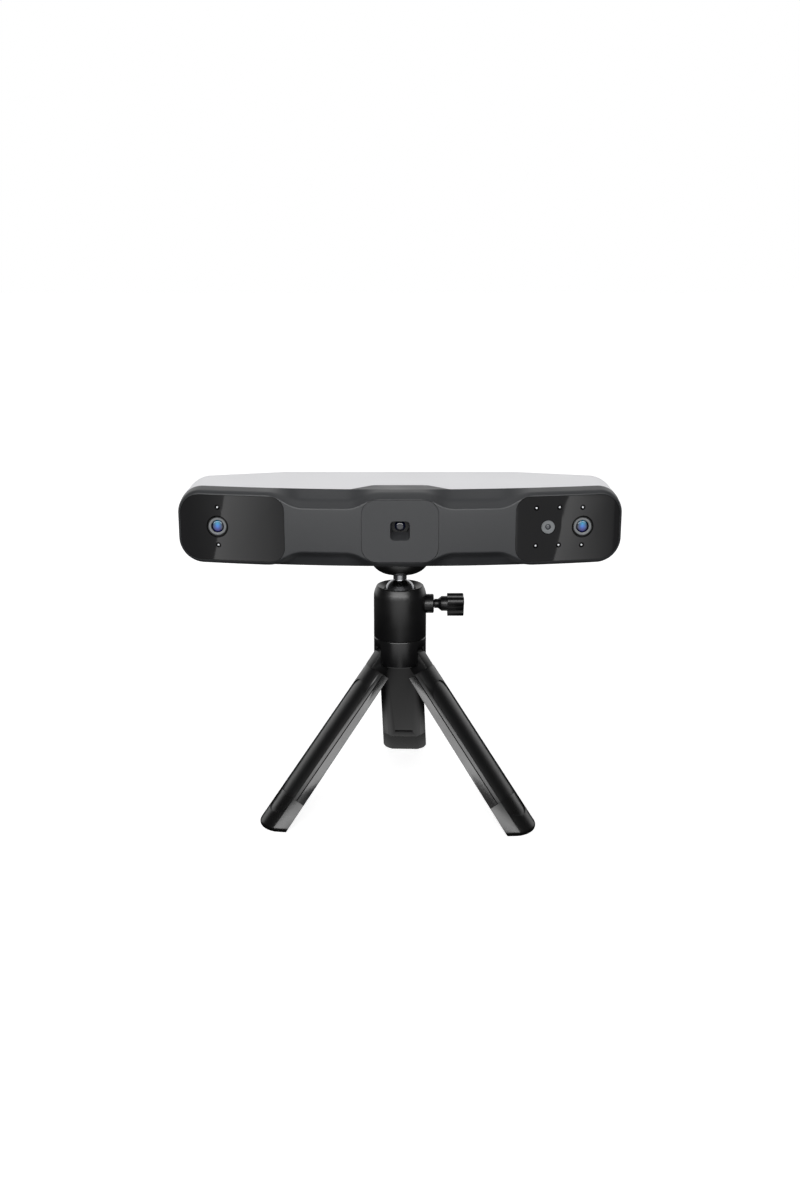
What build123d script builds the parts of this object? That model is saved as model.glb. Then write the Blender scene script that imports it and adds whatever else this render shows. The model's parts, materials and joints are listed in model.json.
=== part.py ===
from build123d import *
import os
from math import cos, radians, sin, sqrt

# Desktop 3D scanner: a stereo scanning bar on a pocket tripod with a ball head.
#
# Millimetres, +Z up. The scanner looks along -Y and +X is to the right of someone who faces it.
# The feet stand on Z = 0. The origin is under the middle of the whole outline, so the tripod's
# column stands at Y = COLUMN_Y. Scanner dimensions are given from the scanner's own middle,
# which is on the column axis at Z = SCANNER_Z.

# ------------------------------------------------------------------ driving dimensions: scanner
SCANNER_W = 153.0
SCANNER_H = 26.8
SCANNER_Z = 107.0
FACE_Y = -21.0            # middle of the bowed front face
REAR_Y = 20.8             # flat middle part of the rear
BOW_R = 325.0             # plan radius of the front face
PARTING = 5.1             # from the face back to the joint between bezel and shell
FACE_T = 3.4              # thickness of the bezel behind its face
WALL = 1.8
END_R = 9.0               # corners seen from the front
REAR_FLAT_X = 42.0        # the rear slants forward outside this
SIDE_REAR_Y = 11.5
REAR_CORNER_R = 9.0
REAR_EDGE_R = 3.5
LIP_L = 2.5               # bezel lip inside the shell
LIP_T = 1.2
GLASS_T = 1.0
PANEL_T = 0.8
GAP = 0.1                 # assembly clearance between fitted covers

END_X = 43.0              # the camera ends start here
WAIST_END_X = 35.6        # the narrow waist runs between these
WAIST_START_X = 16.0
CENTRE_X = 9.3            # half width of the centre block
END_HALF = 11.65          # half heights of the face
WAIST_HALF = 7.65
CENTRE_HALF = 11.0

CAMERA_X, CAMERA_Z = 62.4, 0.35
COLOUR_X, COLOUR_Z = 50.4, 0.57
PROJECTOR_Z = 1.2
BENCH_FRONT, BENCH_REAR = -6.0, -3.5
BOARD_FRONT, BOARD_REAR = 2.0, 3.4
REAR_BOARD_FRONT, REAR_BOARD_REAR = 13.2, 14.4
POST_X, POST_Z, POST_R = 41.9, 7.5, 2.2
STANDOFF_X, STANDOFF_Z = 33.0, 7.0
SCREW_R = 0.95            # the small screws: thread, length under the head, head
SCREW_L = 6.5
HEAD_R, HEAD_H = 1.7, 1.0
SCREW_CLEAR_R = 1.1
BUTTON_X = 13.0           # plus and minus buttons, each side of the start button
USB_X = -26.0
STATUS_X = 22.0

# ------------------------------------------------------------------ driving dimensions: tripod
COLUMN_Y = -10.797        # centres the whole outline over the origin
COLUMN_R = 9.4
BALL_R = 6.0
BALL_Z = 79.2
HEAD_TOP = 83.0
SEAM_Z = 64.0
HUB_BOTTOM = 54.2
NECK_R = 2.4
PLATFORM_R = 9.5
STUD_R = 3.12             # quarter-inch camera thread
CLAMP_Z = 75.8
LEG_SPREAD = 38.8         # degrees between an open leg and the column
LEG_TURN = 2.3            # degrees, the tripod's turn under the scanner
HINGE_R = 5.86            # hinge pins from the column axis
HINGE_Z = 56.55
PIN_R = 1.0
TAB_HALF = 2.3
SLOT_HALF = 2.5
SLOT_TOP = 61.0
SLOT_FLOOR_R = 2.3        # slot wall behind the tab, from the column axis
LEG_FLAT = 3.2            # inner flat of a folded leg, from the column axis
LEG_R_TOP = 9.4
LEG_R_FOOT = 10.3         # a leg is a little wider at its foot
LEG_TOP = 6.0             # distances down a leg start at its hinge pin
FOOT_JOINT = 60.0
LEG_END = 78.0            # past the ground, before the foot is cut level
GROOVE_TOP, GROOVE_END, GROOVE_HALF, GROOVE_DEPTH = 12.0, 68.0, 5.4, 0.5
FACET_HALF = 5.7          # the back of a leg is flat from here to its edges

SCANNER_PLAN = Plane((0, COLUMN_Y, SCANNER_Z))
SCANNER_FRONT = Plane(origin=(0, COLUMN_Y, SCANNER_Z), x_dir=(1, 0, 0), z_dir=(0, -1, 0))
COLUMN_PLAN = Plane((0, COLUMN_Y, 0))
COLUMN_SIDE = Plane(origin=(0, COLUMN_Y, 0), x_dir=(1, 0, 0), z_dir=(0, -1, 0))
COLUMN_AXIS = Axis((0, COLUMN_Y, 0), (0, 0, 1))
CLAMP_PLANE = Plane(origin=(0, COLUMN_Y, CLAMP_Z), x_dir=(0, 1, 0), z_dir=(1, 0, 0))

os.makedirs("parts", exist_ok=True)


def keep(piece, name):
    """Label a finished piece and write it to its own file."""
    piece.label = name
    export_step(piece, f"parts/{name}.step")


def facing(y):
    """Front-view plane at depth y in the scanner. Extruding from it goes towards the front."""
    return SCANNER_FRONT.offset(-y)


def face_y(x):
    """Depth of the bowed front face at x."""
    return FACE_Y + BOW_R - sqrt(BOW_R**2 - x**2)


def behind(middle_y):
    """Everything behind the bowed surface whose middle is at middle_y."""
    with BuildPart() as drum:
        with BuildSketch(SCANNER_PLAN.offset(-SCANNER_H)):
            with Locations((0, middle_y + BOW_R)):
                Circle(BOW_R)
        extrude(amount=2 * SCANNER_H)
    return drum.part


def casing_block(inset):
    """The scanner's outline, from above and from the front, set in by a wall thickness."""
    half_w = SCANNER_W / 2 - inset
    half_h = SCANNER_H / 2 - inset
    rear = REAR_Y - inset
    side = SIDE_REAR_Y - inset
    with BuildPart() as block:
        with BuildSketch(SCANNER_PLAN.offset(-half_h)) as plan:
            with BuildLine():
                Polyline(
                    (-half_w, 2 * FACE_Y), (-half_w, side), (-REAR_FLAT_X, rear),
                    (REAR_FLAT_X, rear), (half_w, side), (half_w, 2 * FACE_Y), close=True,
                )
            make_face()
            corners = plan.vertices().filter_by(lambda v: abs(v.X) > POST_X + 1 and v.Y > 0)
            fillet(corners, REAR_CORNER_R - inset)
        extrude(amount=2 * half_h)
        with BuildSketch(facing(REAR_Y + 1)):
            RectangleRounded(2 * half_w, 2 * half_h, END_R - inset)
        extrude(amount=4 * abs(FACE_Y), mode=Mode.INTERSECT)
        if inset == 0:
            rear_edges = block.edges().filter_by_position(Axis.Y, COLUMN_Y + 6, COLUMN_Y + REAR_Y)
            rim = rear_edges.filter_by(lambda e: abs(e.center().Z - SCANNER_Z) > 1)
            fillet(rim, REAR_EDGE_R)
    return block.part


def cylinders(plane, places, radius, length):
    """Equal cylinders that stand on a plane."""
    with BuildPart() as group:
        with BuildSketch(plane):
            with Locations(*places):
                Circle(radius)
        extrude(amount=length)
    return group.part


def screws(plane, places, thread_l):
    """Equal screws whose heads stand on a plane and whose threads go down through it."""
    with BuildPart() as group:
        with BuildSketch(plane):
            with Locations(*places):
                Circle(HEAD_R)
        extrude(amount=HEAD_H)
        with BuildSketch(plane):
            with Locations(*places):
                Circle(SCREW_R)
        extrude(amount=-thread_l)
    return group.part


def block(x, y_front, y_rear, z, width, height, corner=0.4):
    """A box with rounded upright edges, by its middle in x and z and its two depths."""
    with BuildPart() as box:
        with BuildSketch(facing(y_rear)):
            with Locations((x, z)):
                RectangleRounded(width, height, corner)
        extrude(amount=y_rear - y_front)
    return box.part


def four(x, z):
    """The four places at plus and minus x and z."""
    return [(-x, -z), (x, -z), (-x, z), (x, z)]


# ------------------------------------------------------------------ scanner: shell and bezel
casing_outer = casing_block(0)
casing_inner = casing_block(WALL)
behind_face = behind(FACE_Y)
behind_plate = behind(FACE_Y + FACE_T)
behind_parting = behind(FACE_Y + PARTING)
behind_lip = behind(FACE_Y + PARTING + LIP_L)
behind_glass = behind(FACE_Y + GLASS_T)
behind_panel = behind(FACE_Y + PANEL_T)

TONGUE_REAR, TONGUE_REAR_X = -7.8, 9.0
TONGUE_FRONT_X = 22.5     # where the tongue's sides would meet the face
TONGUE_CORNER_R, TONGUE_T = 3.0, 2.0


def tongue(gap):
    """The lip of the bezel that reaches back over the middle of the top."""
    half_h = SCANNER_H / 2
    with BuildPart() as lip:
        with BuildSketch(SCANNER_PLAN.offset(half_h - TONGUE_T)) as outline:
            with BuildLine():
                Polyline(
                    (-TONGUE_FRONT_X - gap, FACE_Y), (-TONGUE_REAR_X - gap, TONGUE_REAR + gap),
                    (TONGUE_REAR_X + gap, TONGUE_REAR + gap), (TONGUE_FRONT_X + gap, FACE_Y),
                    close=True,
                )
            make_face()
            fillet(outline.vertices().group_by(Axis.Y)[-1], TONGUE_CORNER_R)
        extrude(amount=TONGUE_T)
        add(behind_parting, mode=Mode.INTERSECT)
    return lip.part


FLOOR = -SCANNER_H / 2    # underside of the casing
BOSS_R, BOSS_TOP = 7.2, -6.6
INSERT_R, INSERT_BORE_R, INSERT_TOP = 4.75, 3.2, -7.6
CASING_BORE_REAR = -5.0   # depth at which the casing screws' holes end
REAR_POSTS = [(-33.0, 5.0), (27.0, 5.0)]
REAR_POST_R, REAR_POST_BORE = 1.8, 3.5
STATUS_R = 1.0
BUTTON_PLACES = {"minus_button": -BUTTON_X, "start_button": 0.0, "plus_button": BUTTON_X}
BUTTON_R = {"minus_button": 2.6, "start_button": 4.0, "plus_button": 2.6}
BUTTON_GAP = 0.2
USB_W, USB_H, USB_CORNER_R = 9.0, 3.3, 1.6
USB_GAP = 0.15

with BuildPart() as casing_posts:
    add(cylinders(facing(REAR_Y - WALL / 2), four(POST_X, POST_Z), POST_R, REAR_Y - FACE_Y))
    add(behind_plate, mode=Mode.INTERSECT)

with BuildPart() as rear_shell:
    add(casing_outer)
    add(behind_parting, mode=Mode.INTERSECT)
    add(casing_inner, mode=Mode.SUBTRACT)
    add(tongue(GAP / 2), mode=Mode.SUBTRACT)
    add(casing_posts.part)
    add(cylinders(facing(FACE_Y), four(POST_X, POST_Z), SCREW_R,
                  FACE_Y - CASING_BORE_REAR), mode=Mode.SUBTRACT)
    add(cylinders(SCANNER_PLAN.offset(FLOOR + WALL / 2), [(0, 0)], BOSS_R,
                  BOSS_TOP - FLOOR - WALL / 2))
    add(cylinders(SCANNER_PLAN.offset(FLOOR), [(0, 0)], INSERT_R, INSERT_TOP - FLOOR),
        mode=Mode.SUBTRACT)
    add(cylinders(facing(REAR_Y - WALL / 2), REAR_POSTS, REAR_POST_R,
                  REAR_Y - WALL / 2 - REAR_BOARD_REAR))
    add(cylinders(facing(REAR_BOARD_REAR + REAR_POST_BORE), REAR_POSTS, SCREW_R, REAR_POST_BORE),
        mode=Mode.SUBTRACT)
    for name, x in BUTTON_PLACES.items():
        add(cylinders(facing(REAR_Y + 1), [(x, 0)], BUTTON_R[name] + BUTTON_GAP, WALL + 2),
            mode=Mode.SUBTRACT)
    add(cylinders(facing(REAR_Y + 1), [(STATUS_X, 0)], STATUS_R, WALL + 2), mode=Mode.SUBTRACT)
    add(block(USB_X, REAR_Y - WALL - 1, REAR_Y + 1, 0, USB_W + 2 * USB_GAP, USB_H + 2 * USB_GAP,
              USB_CORNER_R + USB_GAP), mode=Mode.SUBTRACT)
keep(rear_shell.part, "rear_shell")


def bezel_section(x, half_face, half_mid, mid_back):
    """Side view of the bezel at x: parting line, a point on the slope, and the face edge."""
    half_h = SCANNER_H / 2
    front = face_y(x)
    ahead = 1.2               # the block starts a little in front of the face it is cut to
    tip = half_face - (half_mid - half_face) * ahead / mid_back
    upper = [(front + 2 * PARTING, half_h), (front + PARTING, half_h), (front + mid_back, half_mid),
             (front - ahead, tip)]
    return upper + [(y, -z) for y, z in reversed(upper)]


# half height of the face, then a point on the slope behind it: half height and depth
END_SHAPE = (END_HALF, 12.7, 1.0)
WAIST_SHAPE = (WAIST_HALF, 9.8, 3.0)
CENTRE_SHAPE = (CENTRE_HALF, 12.9, 2.2)
HALF_STATIONS = [(CENTRE_X, CENTRE_SHAPE), (WAIST_START_X, WAIST_SHAPE), (WAIST_END_X, WAIST_SHAPE),
                 (END_X, END_SHAPE), (60.0, END_SHAPE), (SCANNER_W / 2, END_SHAPE)]
STATIONS = [(-x, shape) for x, shape in reversed(HALF_STATIONS)] + HALF_STATIONS

with BuildPart() as bezel_block:
    for x, shape in STATIONS:
        with BuildSketch(Plane(origin=(x, COLUMN_Y, SCANNER_Z), x_dir=(0, 1, 0), z_dir=(1, 0, 0))):
            with BuildLine():
                Polyline(*bezel_section(x, *shape), close=True)
            make_face()
    loft(ruled=True)
    add(casing_outer, mode=Mode.INTERSECT)
    add(behind_face, mode=Mode.INTERSECT)
    add(behind_parting, mode=Mode.SUBTRACT)

with BuildPart() as bezel_lip:
    add(casing_block(WALL + GAP))
    add(casing_block(WALL + GAP + LIP_T), mode=Mode.SUBTRACT)
    add(behind_parting, mode=Mode.INTERSECT)
    add(behind_lip, mode=Mode.SUBTRACT)


WINDOW_INNER_X, WINDOW_OUTER_X, WINDOW_HALF = 39.3, 75.3, 11.25
WINDOW_INNER_R, WINDOW_OUTER_R = 4.8, 6.8


def window_outline(side, grow):
    """One camera window in its own flat drawing: tight inner corners, wider outer corners."""
    with BuildSketch() as outline:
        with Locations((side * (WINDOW_INNER_X + WINDOW_OUTER_X) / 2, 0)):
            Rectangle(WINDOW_OUTER_X - WINDOW_INNER_X + 2 * grow, 2 * (WINDOW_HALF + grow))
        fillet(outline.vertices().filter_by(lambda v: abs(v.X) > CAMERA_X), WINDOW_OUTER_R)
        fillet(outline.vertices().filter_by(lambda v: abs(v.X) < COLOUR_X), WINDOW_INNER_R)
    return outline.sketch


PANEL_W, PANEL_H, PANEL_R = 26.0, 21.4, 5.1
PROJECTOR_W, PROJECTOR_H, PROJECTOR_R = 6.8, 7.0, 1.4
THROAT_W, THROAT_H, THROAT_R = 5.8, 4.4, 1.2      # bottom of the projector's tapering opening
FLASH_PLACES = [(x, z) for x in (46.2, 54.15) for z in (7.3, -5.8)]
INFRARED_PLACES = [(x, z) for x in (-62.2, 62.2) for z in (7.0, -6.1)]
LED_R = 0.8
BENCH_SCREW_PLACES = four(22.0, 4.5)
CASING_HEAD_Y, CASING_HEAD_R = -16.0, 1.8
CASING_WEB = 4.0          # bezel left between a casing screw's head and its post
POCKET_W, POCKET_H, POCKET_X = 34.0, 20.4, 55.5
CAMERA_OPENING_X, CAMERA_OPENING_W, CAMERA_OPENING_H = 58.0, 27.0, 17.2
CAMERA_HOLE_R, CAMERA_BARREL_R, CAMERA_LENS_R = 3.8, 3.3, 2.2
COLOUR_HOLE_R, COLOUR_LENS_R = 2.45, 0.9

with BuildPart() as bezel_pocket:
    with BuildSketch(facing(-FACE_Y)):
        Rectangle(2 * (POCKET_X - POCKET_W / 2), 2 * (WAIST_HALF + PANEL_T) - WALL / 2)
        for side in (-1, 1):
            with Locations((side * POCKET_X, 0)):
                RectangleRounded(POCKET_W, POCKET_H, LIP_L)
    extrude(amount=-2 * FACE_Y)
    add(behind_plate, mode=Mode.INTERSECT)

with BuildPart() as window_recesses:
    with BuildSketch(facing(0)):
        for side in (-1, 1):
            add(window_outline(side, GAP / 2))
    extrude(amount=-FACE_Y + 2)
    add(behind_glass, mode=Mode.SUBTRACT)

with BuildPart() as panel_blank:
    with BuildSketch(facing(0)):
        RectangleRounded(PANEL_W, PANEL_H, PANEL_R)
    extrude(amount=-FACE_Y + 2)
    add(behind_panel, mode=Mode.SUBTRACT)

with BuildPart() as projector_cavity:
    with BuildSketch(facing(FACE_Y - 0.5)):
        RectangleRounded(PROJECTOR_W, PROJECTOR_H, PROJECTOR_R)
    with BuildSketch(facing(FACE_Y + FACE_T + 0.1)):
        with Locations((0, PROJECTOR_Z)):
            RectangleRounded(THROAT_W, THROAT_H, THROAT_R)
    loft()

with BuildPart() as front_bezel:
    add(bezel_block.part)
    add(bezel_pocket.part, mode=Mode.SUBTRACT)
    add(bezel_lip.part)
    add(tongue(-GAP / 2))
    add(cylinders(facing(BENCH_FRONT), BENCH_SCREW_PLACES, POST_R, BENCH_FRONT - FACE_Y - 2.5))
    add(window_recesses.part, mode=Mode.SUBTRACT)
    add(panel_blank.part, mode=Mode.SUBTRACT)
    add(projector_cavity.part, mode=Mode.SUBTRACT)
    for side in (-1, 1):
        add(block(side * CAMERA_OPENING_X, 2 * FACE_Y, 0, 0, CAMERA_OPENING_W, CAMERA_OPENING_H,
                  WALL), mode=Mode.SUBTRACT)
    add(cylinders(facing(CASING_HEAD_Y), four(POST_X, POST_Z), CASING_HEAD_R + GAP,
                  CASING_HEAD_Y - FACE_Y), mode=Mode.SUBTRACT)
    add(cylinders(facing(CASING_HEAD_Y + CASING_WEB), four(POST_X, POST_Z), SCREW_CLEAR_R,
                  2 * CASING_WEB), mode=Mode.SUBTRACT)
    add(cylinders(facing(BENCH_FRONT), BENCH_SCREW_PLACES, SCREW_R, SCREW_L + GAP),
        mode=Mode.SUBTRACT)
keep(front_bezel.part, "front_bezel")

# ------------------------------------------------------------------ scanner: windows and panel
for side, name in ((-1, "left_window"), (1, "right_window")):
    with BuildPart() as window:
        with BuildSketch(facing(0)):
            add(window_outline(side, 0))
        extrude(amount=-FACE_Y + 2)
        add(behind_glass, mode=Mode.SUBTRACT)
        add(behind_face, mode=Mode.INTERSECT)
        add(cylinders(facing(0), [(side * CAMERA_X, CAMERA_Z)], CAMERA_HOLE_R, -FACE_Y),
            mode=Mode.SUBTRACT)
        if side > 0:
            add(cylinders(facing(0), [(COLOUR_X, COLOUR_Z)], COLOUR_HOLE_R, -FACE_Y),
                mode=Mode.SUBTRACT)
            add(cylinders(facing(0), FLASH_PLACES, LED_R + 0.05, -FACE_Y), mode=Mode.SUBTRACT)
        add(cylinders(facing(0), INFRARED_PLACES, LED_R + 0.05, -FACE_Y), mode=Mode.SUBTRACT)
    keep(window.part, name)

with BuildPart() as centre_panel:
    add(panel_blank.part)
    add(behind_face, mode=Mode.INTERSECT)
    add(projector_cavity.part, mode=Mode.SUBTRACT)
keep(centre_panel.part, "centre_panel")

# ------------------------------------------------------------------ scanner: optics and lights
BENCH_W, BENCH_H = 142.0, 19.2
BOSS_GAP = 0.4
RIBBON_H, RIBBON_T = 6.0, 0.3
RIBBON_Z = 1.0
LED_BOARD_FRONT, LED_BOARD_REAR = -12.2, -11.2
CAMERA_BODY, CAMERA_BARREL_L, CAMERA_LENS_T, CAMERA_LENS_Y = 13.0, 3.3, 1.2, -13.2
COLOUR_BODY, COLOUR_BARREL_L, COLOUR_LENS_T, COLOUR_LENS_Y = 8.5, 5.5, 0.7, -15.9
PROJECTOR_BODY_W, PROJECTOR_BODY_H, PROJECTOR_BODY_Y = 16.0, 12.4, -14.0
PROJECTOR_BARREL_R, PROJECTOR_BARREL_L = 3.0, 3.4
PROJECTOR_LENS_R, PROJECTOR_LENS_T, PROJECTOR_LENS_Y = 1.9, 2.0, -16.6
LED_BOARD_H = 16.0
LEFT_LED_X, LEFT_LED_W = -61.9, 16.6
RIGHT_LED_X, RIGHT_LED_W = 57.5, 25.2

boss_clearance = cylinders(SCANNER_PLAN.offset(FLOOR), [(0, 0)], BOSS_R + BOSS_GAP,
                           BOSS_TOP - FLOOR + BOSS_GAP)

with BuildPart() as optical_bench:
    add(block(0, BENCH_FRONT, BENCH_REAR, 0, BENCH_W, BENCH_H, 3.0))
    add(cylinders(facing(0), four(POST_X, POST_Z), POST_R + GAP, 10.0), mode=Mode.SUBTRACT)
    add(cylinders(facing(0), BENCH_SCREW_PLACES, SCREW_CLEAR_R, 10.0), mode=Mode.SUBTRACT)
    add(cylinders(facing(0), four(STANDOFF_X, STANDOFF_Z), SCREW_R, 10.0), mode=Mode.SUBTRACT)
    for x in (-CAMERA_X, 0.0, COLOUR_X, CAMERA_X):
        add(block(x, -10.0, 0.0, RIBBON_Z, 2.0, RIBBON_H + 1.0), mode=Mode.SUBTRACT)
    add(boss_clearance, mode=Mode.SUBTRACT)
keep(optical_bench.part, "optical_bench")

for side, name in ((-1, "left_camera"), (1, "right_camera")):
    with BuildPart() as camera:
        add(block(side * CAMERA_X, LED_BOARD_REAR, BENCH_FRONT, CAMERA_Z, CAMERA_BODY, CAMERA_BODY))
        add(cylinders(facing(LED_BOARD_REAR), [(side * CAMERA_X, CAMERA_Z)], CAMERA_BARREL_R,
                      CAMERA_BARREL_L))
        add(cylinders(facing(CAMERA_LENS_Y), [(side * CAMERA_X, CAMERA_Z)], CAMERA_LENS_R,
                      CAMERA_BARREL_L), mode=Mode.SUBTRACT)
    keep(camera.part, name)
    with BuildPart() as lens:
        add(cylinders(facing(CAMERA_LENS_Y), [(side * CAMERA_X, CAMERA_Z)], CAMERA_LENS_R,
                      CAMERA_LENS_T))
        fillet(lens.faces().sort_by(Axis.Y)[0].edges(), 0.8)
    keep(lens.part, name + "_lens")

with BuildPart() as colour_camera:
    add(block(COLOUR_X, LED_BOARD_REAR, BENCH_FRONT, COLOUR_Z, COLOUR_BODY, COLOUR_BODY))
    add(cylinders(facing(LED_BOARD_REAR), [(COLOUR_X, COLOUR_Z)], COLOUR_HOLE_R - GAP,
                  COLOUR_BARREL_L))
    add(cylinders(facing(COLOUR_LENS_Y), [(COLOUR_X, COLOUR_Z)], COLOUR_LENS_R, COLOUR_BARREL_L),
        mode=Mode.SUBTRACT)
keep(colour_camera.part, "colour_camera")

with BuildPart() as colour_camera_lens:
    add(cylinders(facing(COLOUR_LENS_Y), [(COLOUR_X, COLOUR_Z)], COLOUR_LENS_R, COLOUR_LENS_T))
    fillet(colour_camera_lens.faces().sort_by(Axis.Y)[0].edges(), 0.4)
keep(colour_camera_lens.part, "colour_camera_lens")

with BuildPart() as projector:
    add(block(0, PROJECTOR_BODY_Y, BENCH_FRONT, PROJECTOR_Z, PROJECTOR_BODY_W, PROJECTOR_BODY_H))
    add(cylinders(facing(PROJECTOR_BODY_Y), [(0, PROJECTOR_Z)], PROJECTOR_BARREL_R,
                  PROJECTOR_BARREL_L))
    add(cylinders(facing(PROJECTOR_LENS_Y), [(0, PROJECTOR_Z)], PROJECTOR_LENS_R,
                  PROJECTOR_BARREL_L), mode=Mode.SUBTRACT)
keep(projector.part, "projector")

with BuildPart() as projector_lens:
    add(cylinders(facing(PROJECTOR_LENS_Y), [(0, PROJECTOR_Z)], PROJECTOR_LENS_R, PROJECTOR_LENS_T))
    fillet(projector_lens.faces().sort_by(Axis.Y)[0].edges(), 1.2)
keep(projector_lens.part, "projector_lens")

with BuildPart() as left_led_board:
    add(block(LEFT_LED_X, LED_BOARD_FRONT, LED_BOARD_REAR, 0, LEFT_LED_W, LED_BOARD_H))
    add(cylinders(facing(0), [(-CAMERA_X, CAMERA_Z)], CAMERA_HOLE_R, 20.0), mode=Mode.SUBTRACT)
keep(left_led_board.part, "left_led_board")

with BuildPart() as right_led_board:
    add(block(RIGHT_LED_X, LED_BOARD_FRONT, LED_BOARD_REAR, 0, RIGHT_LED_W, LED_BOARD_H))
    add(cylinders(facing(0), [(CAMERA_X, CAMERA_Z)], CAMERA_HOLE_R, 20.0), mode=Mode.SUBTRACT)
    add(cylinders(facing(0), [(COLOUR_X, COLOUR_Z)], COLOUR_HOLE_R, 20.0), mode=Mode.SUBTRACT)
keep(right_led_board.part, "right_led_board")

for name, places in (("flash_leds", FLASH_PLACES), ("infrared_leds", INFRARED_PLACES)):
    with BuildPart() as leds:
        for x, z in places:
            add(cylinders(facing(LED_BOARD_FRONT), [(x, z)], LED_R, LED_BOARD_FRONT - face_y(x)))
    keep(leds.part, name)

# ------------------------------------------------------------------ scanner: electronics
BOARD_W, BOARD_H = 74.0, 18.0
CHIPS = ((-14, 1.5, 14, 12), (8, 2.5, 10, 9), (24, 0, 8, 12))     # x, z, width, height
CHIP_T = 1.2
SPREADER_X, SPREADER_Z, SPREADER_W, SPREADER_H, SPREADER_T = 4.0, 1.5, 52.0, 14.0, 2.0
STANDOFF_R = 2.0

with BuildPart() as main_board:
    add(block(0, BOARD_FRONT, BOARD_REAR, 0, BOARD_W, BOARD_H, 1.0))
    add(cylinders(facing(BOARD_REAR), four(STANDOFF_X, STANDOFF_Z), SCREW_CLEAR_R,
                  BOARD_REAR - BOARD_FRONT), mode=Mode.SUBTRACT)
    add(boss_clearance, mode=Mode.SUBTRACT)
keep(main_board.part, "main_board")

with BuildPart() as board_chips:
    for x, z, width, height in CHIPS:
        add(block(x, BOARD_REAR, BOARD_REAR + CHIP_T, z, width, height))
keep(board_chips.part, "board_chips")

with BuildPart() as heat_spreader:
    add(block(SPREADER_X, BOARD_REAR + CHIP_T, BOARD_REAR + CHIP_T + SPREADER_T, SPREADER_Z,
              SPREADER_W, SPREADER_H))
keep(heat_spreader.part, "heat_spreader")

with BuildPart() as board_standoffs:
    add(cylinders(facing(BOARD_FRONT), four(STANDOFF_X, STANDOFF_Z), STANDOFF_R,
                  BOARD_FRONT - BENCH_REAR))
    add(cylinders(facing(BOARD_FRONT), four(STANDOFF_X, STANDOFF_Z), SCREW_R,
                  BOARD_FRONT - BENCH_REAR), mode=Mode.SUBTRACT)
keep(board_standoffs.part, "board_standoffs")

TOWARDS_REAR = Plane(origin=(0, COLUMN_Y, SCANNER_Z), x_dir=(-1, 0, 0), z_dir=(0, 1, 0))


def rear_facing(y):
    """Plane at depth y, seen from behind. Extruding from it goes towards the rear."""
    return TOWARDS_REAR.offset(y)


with BuildPart() as small_screws:
    add(screws(rear_facing(BOARD_REAR), four(STANDOFF_X, STANDOFF_Z), SCREW_L))
    add(screws(rear_facing(BENCH_REAR), BENCH_SCREW_PLACES, SCREW_L))
    add(screws(facing(CASING_HEAD_Y), four(POST_X, POST_Z), SCREW_L))
    add(screws(facing(REAR_BOARD_FRONT), REAR_POSTS, REAR_POST_BORE + GAP))
keep(small_screws.part, "small_screws")

# x at the bench, depth of the run between bench and board, x at the board
RIBBONS = ((-CAMERA_X, -0.5, -35.5), (CAMERA_X, -0.5, 35.5), (COLOUR_X, -1.8, 29.0),
           (0.0, -1.0, 0.0))
REAR_RIBBON_X = -30.0

with BuildPart() as ribbon_cables:
    with BuildSketch(SCANNER_PLAN.offset(RIBBON_Z - RIBBON_H / 2)):
        for x, y_run, x_end in RIBBONS:
            with Locations((x, (BENCH_FRONT + y_run) / 2)):
                Rectangle(RIBBON_T, y_run - BENCH_FRONT)
            with Locations(((x + x_end) / 2, y_run)):
                Rectangle(abs(x - x_end) + RIBBON_T, RIBBON_T)
            with Locations((x_end, (BOARD_FRONT + y_run) / 2)):
                Rectangle(RIBBON_T, BOARD_FRONT - y_run)
        with Locations((REAR_RIBBON_X, (BOARD_REAR + REAR_BOARD_FRONT) / 2)):
            Rectangle(RIBBON_T, REAR_BOARD_FRONT - BOARD_REAR)
    extrude(amount=RIBBON_H)
keep(ribbon_cables.part, "ribbon_cables")

# ------------------------------------------------------------------ scanner: rear controls
FLANGE_T, FLANGE_EXTRA = 0.8, 0.8
BUTTON_TRAVEL, BUTTON_PROUD = 0.6, 0.5
SWITCH_W = 4.0
REAR_BOARD_X, REAR_BOARD_W, REAR_BOARD_H = -3.0, 68.0, 15.0
USB_WALL, USB_TONGUE_W, USB_TONGUE_T = 0.35, 6.7, 0.7
FLANGE_REAR = REAR_Y - WALL - 0.1
SWITCH_REAR = FLANGE_REAR - FLANGE_T - BUTTON_TRAVEL - 0.2

with BuildPart() as rear_board:
    add(block(REAR_BOARD_X, REAR_BOARD_FRONT, REAR_BOARD_REAR, 0, REAR_BOARD_W, REAR_BOARD_H))
    add(cylinders(facing(REAR_BOARD_REAR), REAR_POSTS, SCREW_CLEAR_R,
                  REAR_BOARD_REAR - REAR_BOARD_FRONT), mode=Mode.SUBTRACT)
keep(rear_board.part, "rear_board")

with BuildPart() as tact_switches:
    for x in BUTTON_PLACES.values():
        add(block(x, REAR_BOARD_REAR, SWITCH_REAR, 0, SWITCH_W, SWITCH_W))
keep(tact_switches.part, "tact_switches")

for name, x in BUTTON_PLACES.items():
    with BuildPart() as button:
        add(cylinders(facing(REAR_Y + BUTTON_PROUD), [(x, 0)], BUTTON_R[name],
                      REAR_Y + BUTTON_PROUD - FLANGE_REAR))
        fillet(button.faces().sort_by(Axis.Y)[-1].edges(), 0.3)
        add(cylinders(facing(FLANGE_REAR), [(x, 0)], BUTTON_R[name] + FLANGE_EXTRA, FLANGE_T))
    keep(button.part, name)

with BuildPart() as status_light:
    add(cylinders(facing(REAR_Y), [(STATUS_X, 0)], STATUS_R, REAR_Y - REAR_BOARD_REAR))
keep(status_light.part, "status_light")

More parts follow.
